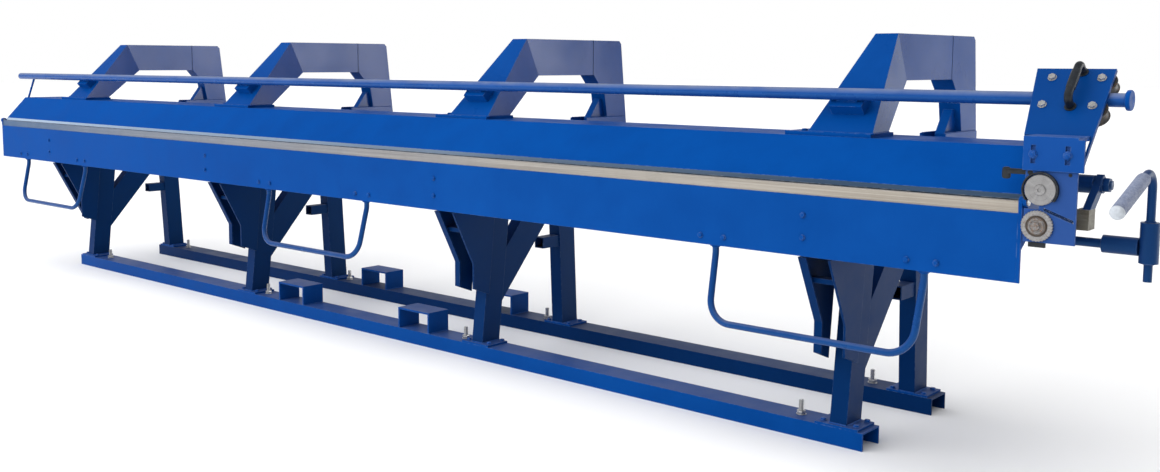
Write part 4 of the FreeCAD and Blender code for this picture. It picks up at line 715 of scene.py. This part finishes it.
class FOLDER_OT_feet(bpy.types.Operator):
    """Levelling studs, foot bolts and the welds of the base"""
    bl_idname = "folder.feet"
    bl_label = "Make the feet"

    def execute(self, context):
        rail_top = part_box("base_rail_front")[1].z
        studs = bmesh.new()
        for low, high in solids("levelling_studs"):
            x, y = middle((low, high)).xy
            threaded(studs, (x, y, low.z), UP, 0.009, high.z - low.z, sizes().thread_pitch)
            disc(studs, (x, y, rail_top), UP, 0.0172, 0.003, 0.0008, 28, 0.0092)
            hexagon(studs, (x, y, rail_top + 0.003), UP, 0.016, 0.012, x * 3)
        piece("levelling_studs_threaded", studs, "Zinc plate", "frame", ["levelling_studs"])
        plate_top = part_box("foot_plates")[1].z
        piece("foot_bolts_with_washers", bolts_of("foot_bolts", plate_top, UP, 0.0098, 5),
              "Frame enamel", "frame", ["foot_bolts"])
        beads = bmesh.new()
        for node in ("front_legs", "rear_legs"):
            for low, high in solids(node):
                depths = [point.y for point in points_at(node, low.z)]
                front, rear = min(depths), max(depths)
                weld_loop(beads, [(low.x, front), (high.x, front), (high.x, rear),
                                  (low.x, rear)], plate_top)
        for low, high in solids("fork_pockets"):
            for x in (low.x, high.x):
                weld(beads, (x, low.y, low.z), (x, high.y, low.z))
        piece("base_welds", beads, "Frame enamel", "frame")
        return {"FINISHED"}


class FOLDER_OT_apron_fittings(bpy.types.Operator):
    """Bolts, handle flanges and hinge pins of the apron"""
    bl_idname = "folder.apron_fittings"
    bl_label = "Make the apron's fittings"

    rod: metres("Handle rod", "Radius of the lift handles' rod", 0.011)

    def execute(self, context):
        face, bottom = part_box("apron_channel")[0].yz
        piece("apron_bolts_with_washers", bolts_of("apron_bolts", face, FRONT, 0.0088, 4),
              "Apron enamel", "apron", ["apron_bolts"])
        flanges = bmesh.new()
        for low, high in solids("lift_handles"):
            for x in (low.x + self.rod, high.x - self.rod):
                place = (x, high.y - self.rod, bottom)
                disc(flanges, place, -UP, 0.019, 0.005, 0.0015, 32, 0.0112)
                lathe(flanges, [(0.0112, 0.004), (0.0158, 0.0045), (0.0142, 0.0072),
                                (0.0112, 0.0095)], aim(place, -UP), 24)
        piece("handle_flanges", flanges, "Apron enamel", "apron")
        pins, head = bmesh.new(), 0.004
        for low, high in solids("apron_hinge_pins"):
            centre, length = middle((low, high)), high.x - low.x
            out = RIGHT if centre.x > 0 else -RIGHT
            end = Vector((high.x if out.x > 0 else low.x, *centre.yz))
            disc(pins, end - out * head, out, 0.012, head, 0.001, 32)
            disc(pins, end - out * length, out, 0.008, length - head, 0.0008, 28)
        piece("hinge_pins_turned", pins, "Pin steel", "frame", ["apron_hinge_pins"])
        return {"FINISHED"}


class FOLDER_OT_arm_fittings(bpy.types.Operator):
    """Seams, welds and bolts of the swan neck arms"""
    bl_idname = "folder.arm_fittings"
    bl_label = "Make the arms' fittings"

    arm_height: metres("Arm height", "Height of an arm where its column joins it", 0.154)
    seam_height: metres("Seam height", "Height of a seam, half of it above the plate", 0.0012)

    def execute(self, context):
        seams, beads, columns = bmesh.new(), bmesh.new(), solids("columns")
        wide, proud, tall = sizes().seam_width, self.seam_height, self.arm_height
        plate_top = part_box("arm_base_plates")[1].z
        for (low, high), column in zip(solids("swan_neck_arms"), columns):
            (left, y, _), (right, _, top) = column
            for x in (left, right):
                block(seams, (proud, wide, tall), aim((x, y, top - tall / 2)), 0.0004, 1)
            for z in (top, top - tall):
                block(seams, (right - left, wide, proud), aim((middle(column).x, y, z)), 0.0004,
                      1)
            foot = [point for point in points_at("swan_neck_arms", plate_top)
                    if low.x - 1e-4 <= point.x <= high.x + 1e-4]
            front, rear = min(point.y for point in foot), max(point.y for point in foot)
            weld_loop(beads, [(pick(point.x for point in foot if abs(point.y - y) < 1e-4), y)
                              for pick, y in ((min, front), (min, rear), (max, rear),
                                              (max, front))], plate_top)
        piece("arm_seams", seams, "Seam shadow", "clamp")
        piece("arm_bolts_with_washers", bolts_of("arm_base_bolts", plate_top, UP, 0.0098, 3),
              "Beam enamel", "clamp", ["arm_base_bolts"])
        for low, high in solids("column_foot_plates"):
            if high.x - low.x < 0.02:
                arm = min((middle(box).x for box in columns), key=lambda x: abs(x - low.x))
                inner = min((low.x, high.x), key=lambda x: abs(x - arm))
                weld(beads, (inner, low.y, high.z), (inner, high.y, high.z))
        piece("arm_welds", beads, "Arm enamel", "clamp")
        return {"FINISHED"}


class FOLDER_OT_tube_fittings(bpy.types.Operator):
    """Turned end stop of the guide tube"""
    bl_idname = "folder.tube_fittings"
    bl_label = "Make the guide tube's end stop"

    def execute(self, context):
        low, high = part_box("tube_end_stop")
        near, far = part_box("guide_tube")[1].x - low.x, high.x - low.x
        stop = bmesh.new()
        lathe(stop, [(0, 0), (0.015, 0), (0.0152, 0.001), (0.0152, near), (0.0245, near),
                     (0.0275, near + 0.002), (0.028, near + 0.004), (0.028, far - 0.003),
                     (0.0265, far - 0.0008), (0.012, far), (0.0095, far - 0.0015),
                     (0, far - 0.0015)], aim((low.x, *middle((low, high)).yz), RIGHT), 48)
        piece("tube_end_cap", stop, "Frame enamel", "clamp", ["tube_end_stop"])
        return {"FINISHED"}


class FOLDER_OT_rollers(bpy.types.Operator):
    """Grooved rollers and the bolts they turn on"""
    bl_idname = "folder.rollers"
    bl_label = "Make the rollers"

    radius: metres("Roller radius", "Outer radius of a roller", 0.037)
    width: metres("Roller width", "Width of a roller", 0.030)
    groove: metres("Groove", "Radius of the groove that runs on the tube", 0.0196)

    def execute(self, context):
        half = self.width / 2
        rim = [(0.0081, -half), (0.0185, -half), (0.0192, -half + 0.0016),
               (0.0215, -half + 0.0016), (0.0222, -half), (self.radius - 0.001, -half),
               (self.radius, -half + 0.0006)]
        outline = list(rim)
        for i in range(-6, 7):
            angle = math.radians(i * 7.4)
            outline.append((0.051 - self.groove * math.cos(angle), self.groove * math.sin(angle)))
        outline += [(radius, -height) for radius, height in reversed(rim)] + rim[:1]
        bolts = bmesh.new()
        start = pivot("roller_1_spin").dot(SLOPE)
        plate = max(v.co.dot(SLOPE) for v in NODES["carriage_plate"].data.vertices) - start
        for i in range(1, 5):
            centre = pivot("roller_%d_spin" % i)
            roller = bmesh.new()
            lathe(roller, outline, aim(centre, SLOPE), 56)
            piece("grooved_roller_%d" % i, roller, "Roller steel", "roller_%d" % i,
                  ["roller_%d" % i])
            for along, radius, length, round_off, steps in (
                    (half + 0.0003, 0.012, plate - half - 0.0063, 0.0006, 28),
                    (-half, 0.008, plate + half, 0.0008, 24),
                    (-half - 0.0033, 0.0118, 0.003, 0.0006, 28)):
                disc(bolts, centre + SLOPE * along, SLOPE, radius, length, round_off, steps)
            screwed(bolts, centre + SLOPE * plate, SLOPE, 0.0108, 0.009, i * 1.1)
        piece("roller_bolts", bolts, "Zinc plate", "carriage", ["roller_axles"])
        return {"FINISHED"}


class FOLDER_OT_blades(bpy.types.Operator):
    """Upper and lower disc blade with their hubs"""
    bl_idname = "folder.blades"
    bl_label = "Make the blades"

    teeth: bpy.props.IntProperty(
        name="Teeth", description="Teeth round the lower blade", default=32, min=12)

    def execute(self, context):
        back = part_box("blade_guard_ring")[1].y - 0.0003
        for word, radius in (("upper", 0.041), ("lower", 0.042)):
            x, _, z = pivot(word + "_blade_spin")
            outline = [(0.0081, 0), (radius - 0.0015, 0), (radius, 0.0008), (radius, 0.005),
                       (radius - 0.002, 0.007), (0.0285, 0.007), (0.0278, 0.0064),
                       (0.0155, 0.0064), (0.0150, 0.007), (0.0081, 0.007), (0.0081, 0)]
            blade = bmesh.new()
            steps = 96 if word == "upper" else 4 * self.teeth
            lathe(blade, outline, aim((0, 0, 0)), steps)
            if word == "lower":
                self.knurl(blade, radius, steps)
            bmesh.ops.transform(blade, matrix=aim((x, back, z), FRONT), verts=blade.verts)
            piece(word + "_disc_blade", blade, word.capitalize() + " blade steel",
                  word + "_blade", [word + "_blade"])
        self.hubs(back - 0.0073, back + 0.0063)
        return {"FINISHED"}

    def knurl(self, blade, radius, steps):
        """Sink the rim between the teeth."""
        for vertex in blade.verts:
            reach = vertex.co.xy.length
            turn = round(math.atan2(vertex.co.y, vertex.co.x) / math.tau * steps) % 4
            if reach > radius - 0.0025:
                sunk = (0.0, 0.5, 1.0, 0.5)[turn] * sizes().knurl_depth
                vertex.co.xy *= (reach - sunk) / reach

    def hubs(self, face, rear):
        """Axles, hub caps and the lower blade's bearing ring."""
        hubs, pin, bearing = bmesh.new(), bmesh.new(), bmesh.new()
        x, _, z = pivot("upper_blade_spin")
        disc(hubs, (x, rear, z), FRONT, 0.008, rear - face + 0.001, 0.0006, 28)
        lathe(hubs, [(0, 0), (0.0138, 0), (0.0146, 0.0008), (0.0146, 0.0024), (0.0128, 0.0042),
                     (0.0056, 0.005), (0.0050, 0.0022), (0, 0.0018)],
              aim((x, face, z), FRONT), 40)
        x, _, z = pivot("lower_blade_spin")
        disc(hubs, (x, rear, z), FRONT, 0.008, rear - face + 0.005, 0.0006, 28)
        latch, flange = pivot("latch_swing").xz, 0.003
        low, high = min(solids("carriage_pins"), key=lambda box: (middle(box).xz - latch).length)
        pin_x, _, pin_z = middle((low, high))
        disc(pin, (pin_x, high.y - flange, pin_z), FRONT, 0.007, high.y - low.y - flange, 0.0006,
             24)
        disc(pin, (pin_x, high.y, pin_z), FRONT, 0.010, flange, 0.0008, 28)
        piece("latch_pin", pin, "Blackened steel", "carriage", ())
        piece("upper_hub_and_axles", hubs, "Upper blade steel", "carriage", ["carriage_pins"])
        lathe(bearing, [(0, 0), (0.0262, 0), (0.0270, 0.0008), (0.0262, 0.0026),
                        (0.0232, 0.0030), (0.0222, 0.0014), (0.0205, 0.0014), (0.0198, 0.0038),
                        (0.0160, 0.0042), (0.0150, 0.0026), (0, 0.0026)],
              aim((x, face, z), FRONT), 48)
        hexagon(bearing, (x, face - 0.0026, z), FRONT, 0.0115, 0.0064, 0.4)
        lathe(bearing, [(0, 0), (0.0052, 0), (0.0046, 0.0016), (0, 0.002)],
              aim((x, face - 0.009, z), FRONT), 20)
        piece("lower_bearing_ring", bearing, "Bearing steel", "carriage", ())


class FOLDER_OT_slitter_plate(bpy.types.Operator):
    """Clip bolts, the slit's lips, the guide's shoe and set screw, the latch and the bow handle"""
    bl_idname = "folder.slitter_plate"
    bl_label = "Make the slitter's fittings"

    slit_half: metres("Half slit", "Half the height of the slit in the blade plate", 0.0025)

    def execute(self, context):
        clips, dark = bmesh.new(), bmesh.new()
        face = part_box("slide_plate")[0].y
        for low, high in solids("clip_bolts"):
            x, z = middle((low, high)).xz
            disc(clips, (x, face, z), FRONT, 0.0118, 0.0018, 0.0005, 28)
            hexagon(clips, (x, face - 0.0018, z), FRONT, 0.0098, 0.0056, 0.25)
            disc(clips, (x, face - 0.0074, z), FRONT, 0.0048, 0.001, 0.0004, 18)
            disc(clips, (x, high.y, z), FRONT, 0.0054, high.y - face, 0.0004, 20)
        piece("clip_bolts_with_washers", clips, "Slitter plate enamel", "carriage",
              ["clip_bolts"])
        low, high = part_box("blade_plate")
        blade_x = pivot("lower_blade_spin").x
        block(dark, (0.044, 0.0085, 0.0135), aim((blade_x, low.y + 0.003, low.z + 0.0068)),
              0.0012)
        lathe(dark, [(0, 0.0004), (0.0024, 0.0004), (0.0030, 0.0012), (0.0044, 0.0012),
                     (0.0050, 0)], aim((high.x - 0.019, low.y, 0.9395), FRONT), 24)
        piece("guide_shoe_and_set_screw", dark, "Blackened steel", "carriage", ())
        self.slit_lips(blade_x, low, high)
        self.latch()
        self.bow_handle()
        return {"FINISHED"}

    def slit_lips(self, blade_x, low, high):
        """Dark lips that line the slit in the blade plate, painted shade so the slit reads as a
        dark gap.
        """
        lips, thick = bmesh.new(), 0.0018
        start = Vector((blade_x + 0.014, middle((low, high)).y, 0.846))
        run = Vector((0.076, 0, -0.028))
        where = (Matrix.Translation(start + run / 2)
                 @ Matrix.Rotation(math.atan2(-run.z, run.x), 4, "Y"))
        for side in (-1, 1):
            lift = Matrix.Translation((0, 0, side * (self.slit_half - thick / 2)))
            block(lips, (0.0795, high.y - low.y + 0.0004, thick), where @ lift, 0.0003, 1)
        piece("slit_lips", lips, "Seam shadow", "carriage")

    def latch(self):
        """Flat moulded handle, knob and boss of the blade latch."""
        low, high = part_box("blade_latch")
        x, _, z = pivot("latch_swing")
        thick = 0.009
        left, right = low.x + 0.007, x - 0.0087
        handle, knob = bmesh.new(), (low.x + 0.0112, middle((low, high)).y, high.z - 0.0335)
        block(handle, (right - left, thick, 0.0145),
              aim(((left + right) / 2, low.y + thick / 2, z)), 0.003, 3)
        lathe(handle, [(0, 0), (0.0060, 0.0002), (0.0094, 0.0016), (0.0112, 0.0045),
                       (0.0118, 0.012), (0.0116, 0.022), (0.0102, 0.0285), (0.0070, 0.0315),
                       (0, 0.0322)], Matrix.Translation(knob) @ Matrix.Scale(0.72, 4, (0, 1, 0)),
              32)
        disc(handle, (x, low.y + thick, z), FRONT, high.z - z, thick, 0.0012, 36, 0.0077)
        piece("latch_handle", handle, "Black plastic", "blade_latch", ["blade_latch"])

    def bow_handle(self):
        """Round feet under both ends of the bow handle, and its moulded grip."""
        points = [vertex.co for vertex in NODES["bow_handle"].data.vertices]
        least = min(point.dot(SLOPE) for point in points)
        ends = [point for point in points if point.dot(SLOPE) < least + 1e-5]
        half = middle(corners(ends)).z
        top = middle(corners([point for point in ends if point.z > half]))
        bottom = middle(corners([point for point in ends if point.z < half]))
        feet, grip = bmesh.new(), bmesh.new()
        for place in (top, bottom):
            disc(feet, place, SLOPE, 0.0155, 0.004, 0.0012, 32)
        start, end = (bottom + (top - bottom) * share + SLOPE * 0.040 for share in (0.24, 0.76))
        length = (end - start).length
        lathe(grip, [(0.0108, 0), (0.0120, 0.0008), (0.0126, 0.003), (0.0130, length * 0.3),
                     (0.0131, length * 0.5), (0.0130, length * 0.7), (0.0126, length - 0.003),
                     (0.0120, length - 0.0008), (0.0108, length)], aim(start, end - start), 32)
        for name, mesh in (("bow_handle_feet", feet), ("bow_handle_grip", grip)):
            piece(name, mesh, "Black plastic", "carriage", ())


class FOLDER_OT_lever_fittings(bpy.types.Operator):
    """Ribbed grip with its cap, collars and the adjusting nut"""
    bl_idname = "folder.lever_fittings"
    bl_label = "Make the lever's fittings"

    lever_slope: bpy.props.FloatProperty(
        name="Grip slope", description="Rise of the lever's grip towards its elbow",
        default=math.atan2(0.094, 0.298), subtype="ANGLE")
    grip_length: metres("Grip length", "Length of the grip along the lever", 0.235)
    grip_radius: metres("Grip radius", "Radius of the grip over its ribs", 0.018)

    def execute(self, context):
        run = Vector((0, math.cos(self.lever_slope), math.sin(self.lever_slope)))
        half_solid, bore, first = 0.075, 0.0112, 0.012
        start = middle(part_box("lever_grip")) - run * half_solid
        length, radius = self.grip_length, self.grip_radius
        grip, cap = bmesh.new(), bmesh.new()
        outline = [(bore, 0.010), (radius - 0.002, 0.010), (radius, first)]
        count = int((length - 2 * first) / sizes().grip_rib_pitch)
        step = (length - 2 * first) / count
        for i in range(count):
            at = first + i * step
            outline += [(radius, at + step * 0.55), (radius - 0.0009, at + step * 0.68),
                        (radius - 0.0009, at + step * 0.88), (radius, at + step)]
        outline += [(radius - 0.0012, length - 0.004), (bore, length), (bore, 0.010)]
        lathe(grip, outline, aim(start, run), 40)
        piece("ribbed_grip", grip, "Grip foam", "clamp_lever", ["lever_grip"])
        lathe(cap, [(0, 0.0002), (0.009, 0.0006), (0.0145, 0.0022), (0.0172, 0.005),
                    (0.0179, 0.0085), (0.0179, 0.0118), (0.0165, 0.0125), (0, 0.0125)],
              aim(start, run), 40)
        piece("grip_end_cap", cap, "Grip cap", "clamp_lever", ())
        self.collars()
        self.adjuster()
        return {"FINISHED"}

    def collars(self):
        """Welds and set screws round the sleeve and the hub."""
        low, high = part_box("shaft_sleeve")
        axis = middle((low, high))
        collars = bmesh.new()
        lathe(collars, [(0.0126, 0), (0.0158, 0.0004), (0.0142, 0.0028), (0.0126, 0.0042)],
              aim((low.x, axis.y, axis.z), -RIGHT), 32)
        for angle in (math.radians(150), math.radians(200)):
            out = Vector((0, -math.cos(angle), math.sin(angle)))
            screwed(collars, Vector((low.x + 0.022, axis.y, axis.z)) + out * 0.0236, out, 0.0065,
                    0.006, 0.2)
        low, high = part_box("lever_hub")
        x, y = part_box("lever_bar")[0].x + 0.011, middle((low, high)).y
        for z, out in ((low.z, -UP), (high.z, UP)):
            lathe(collars, [(0.0112, 0), (0.0150, 0.0004), (0.0136, 0.003), (0.0112, 0.0046)],
                  aim((x, y, z), out), 32)
        piece("lever_collars", collars, "Lever enamel", "clamp_lever")

    def adjuster(self):
        """Nut, washer and threaded end beyond the adjusting link."""
        low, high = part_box("adjusting_nut")
        y, z = middle((low, high)).yz
        nut = bmesh.new()
        disc(nut, (low.x, y, z), RIGHT, 0.0235, 0.003, 0.0008, 36)
        hexagon(nut, (low.x + 0.003, y, z), RIGHT, 0.021, 0.0165, 0.4)
        threaded(nut, (low.x + 0.019, y, z), RIGHT, 0.0125, high.x - low.x - 0.019, 0.002, 24)
        piece("adjusting_nut_with_washer", nut, "Lever enamel", "clamp", ["adjusting_nut"])


class FOLDER_OT_stage(bpy.types.Operator):
    """Pale floor, soft studio light and the camera"""
    bl_idname = "folder.stage"
    bl_label = "Set the stage"

    def execute(self, context):
        scene = context.scene
        scene.view_settings.view_transform = "Standard"
        ground = bmesh.new()
        bmesh.ops.create_grid(ground, x_segments=1, y_segments=1, size=60)
        floor = thing_of("studio_floor", ground, "Studio floor")
        self.sky(scene)
        self.lamp("daylight", "SUN", (-3, -7, 11), (0, -0.3, 0.6), 3.0)
        self.lamp("front_soft_box", "AREA", (-2.5, -6.5, 3.2), (0, -0.3, 0.7), 170)
        self.lamp("bright_wall", "AREA", (11, 7.5, 1.9), (2.4, -0.2, 1.25), 520)
        self.camera(scene)
        return {"FINISHED"}

    def sky(self, scene):
        """White behind the machine, dimmer behind the camera."""
        world = bpy.data.worlds.new("studio_sky")
        scene.world = world
        world.use_nodes = True
        tree = world.node_tree
        way = put(tree, "TexCoord").outputs["Generated"]
        behind = spread(tree, part_of(tree, way, "Y"), 0.0, 0.3)
        low = spread(tree, part_of(tree, way, "Z"), 0.12, 0.5, 1.0, 0.0)
        bright = spread(tree, times(tree, behind, low), 0.0, 1.0, 0.42, 1.0)
        wire(tree, tree.nodes["Background"], {"Color": (1, 1, 1, 1), "Strength": bright})

    def lamp(self, name, kind, place, target, energy):
        """Soft lamp; only the bright wall behind the machine shows in its shine."""
        light = bpy.data.lights.new(name, kind)
        if kind == "SUN":
            light.angle = math.radians(95)
        else:
            light.size = 6.0
        light.energy = energy
        lamp = bpy.data.objects.new(name, light)
        bpy.context.scene.collection.objects.link(lamp)
        lamp.location = place
        lamp.rotation_euler = (Vector(target) - Vector(place)).to_track_quat("-Z", "Y").to_euler()
        lamp.visible_glossy = name == "bright_wall"
        lamp.visible_diffuse = name != "bright_wall"

    def camera(self, scene):
        """The photograph's view: place, direction and field from a fit to its outlines."""
        width, height = 1160, 472
        focal, centre_x, centre_y = 1168.44, 540.939, 184.321
        yaw, pitch, roll = (math.radians(a) for a in (41.87104, -5.97045, 0.15859))
        lens = bpy.data.cameras.new("camera")
        lens.sensor_width = 36
        lens.lens = focal * lens.sensor_width / width
        lens.shift_x = (width / 2 - centre_x) / width
        lens.shift_y = (centre_y - height / 2) / width
        lens.clip_end = 200
        camera = bpy.data.objects.new("camera", lens)
        scene.collection.objects.link(camera)
        turn = (Matrix.Rotation(yaw, 4, "Z") @ Matrix.Rotation(math.pi / 2 + pitch, 4, "X")
                @ Matrix.Rotation(roll, 4, "Z"))
        camera.matrix_world = Matrix.Translation((4.19637, -3.67451, 1.22595)) @ turn
        scene.camera = camera


STEPS = (FOLDER_OT_stage, FOLDER_OT_paint, FOLDER_OT_feet, FOLDER_OT_apron_fittings,
         FOLDER_OT_arm_fittings, FOLDER_OT_tube_fittings, FOLDER_OT_rollers,
         FOLDER_OT_blades, FOLDER_OT_slitter_plate, FOLDER_OT_lever_fittings)


class FOLDER_PT_steps(bpy.types.Panel):
    """The steps that dress the folder"""
    bl_idname = "FOLDER_PT_steps"
    bl_label = "Roofing sheet metal folder"
    bl_space_type = "VIEW_3D"
    bl_region_type = "UI"
    bl_category = "Folder"

    def draw(self, context):
        for step in STEPS:
            self.layout.operator(step.bl_idname)
        for group_name in ("folder_sizes", "folder_colours"):
            settings = getattr(context.scene, group_name)
            for key in settings.__annotations__:
                self.layout.prop(settings, key)


CLASSES = (FolderSizes, FolderColours) + STEPS + (FOLDER_PT_steps,)


def register():
    for kind in CLASSES:
        bpy.utils.register_class(kind)
    bpy.types.Scene.folder_sizes = bpy.props.PointerProperty(type=FolderSizes)
    bpy.types.Scene.folder_colours = bpy.props.PointerProperty(type=FolderColours)


def unregister():
    del bpy.types.Scene.folder_colours
    del bpy.types.Scene.folder_sizes
    for kind in reversed(CLASSES):
        bpy.utils.unregister_class(kind)


def main():
    register()
    for step in STEPS:
        family, word = step.bl_idname.split(".")
        getattr(getattr(bpy.ops, family), word)()


if __name__ == "__main__":
    main()
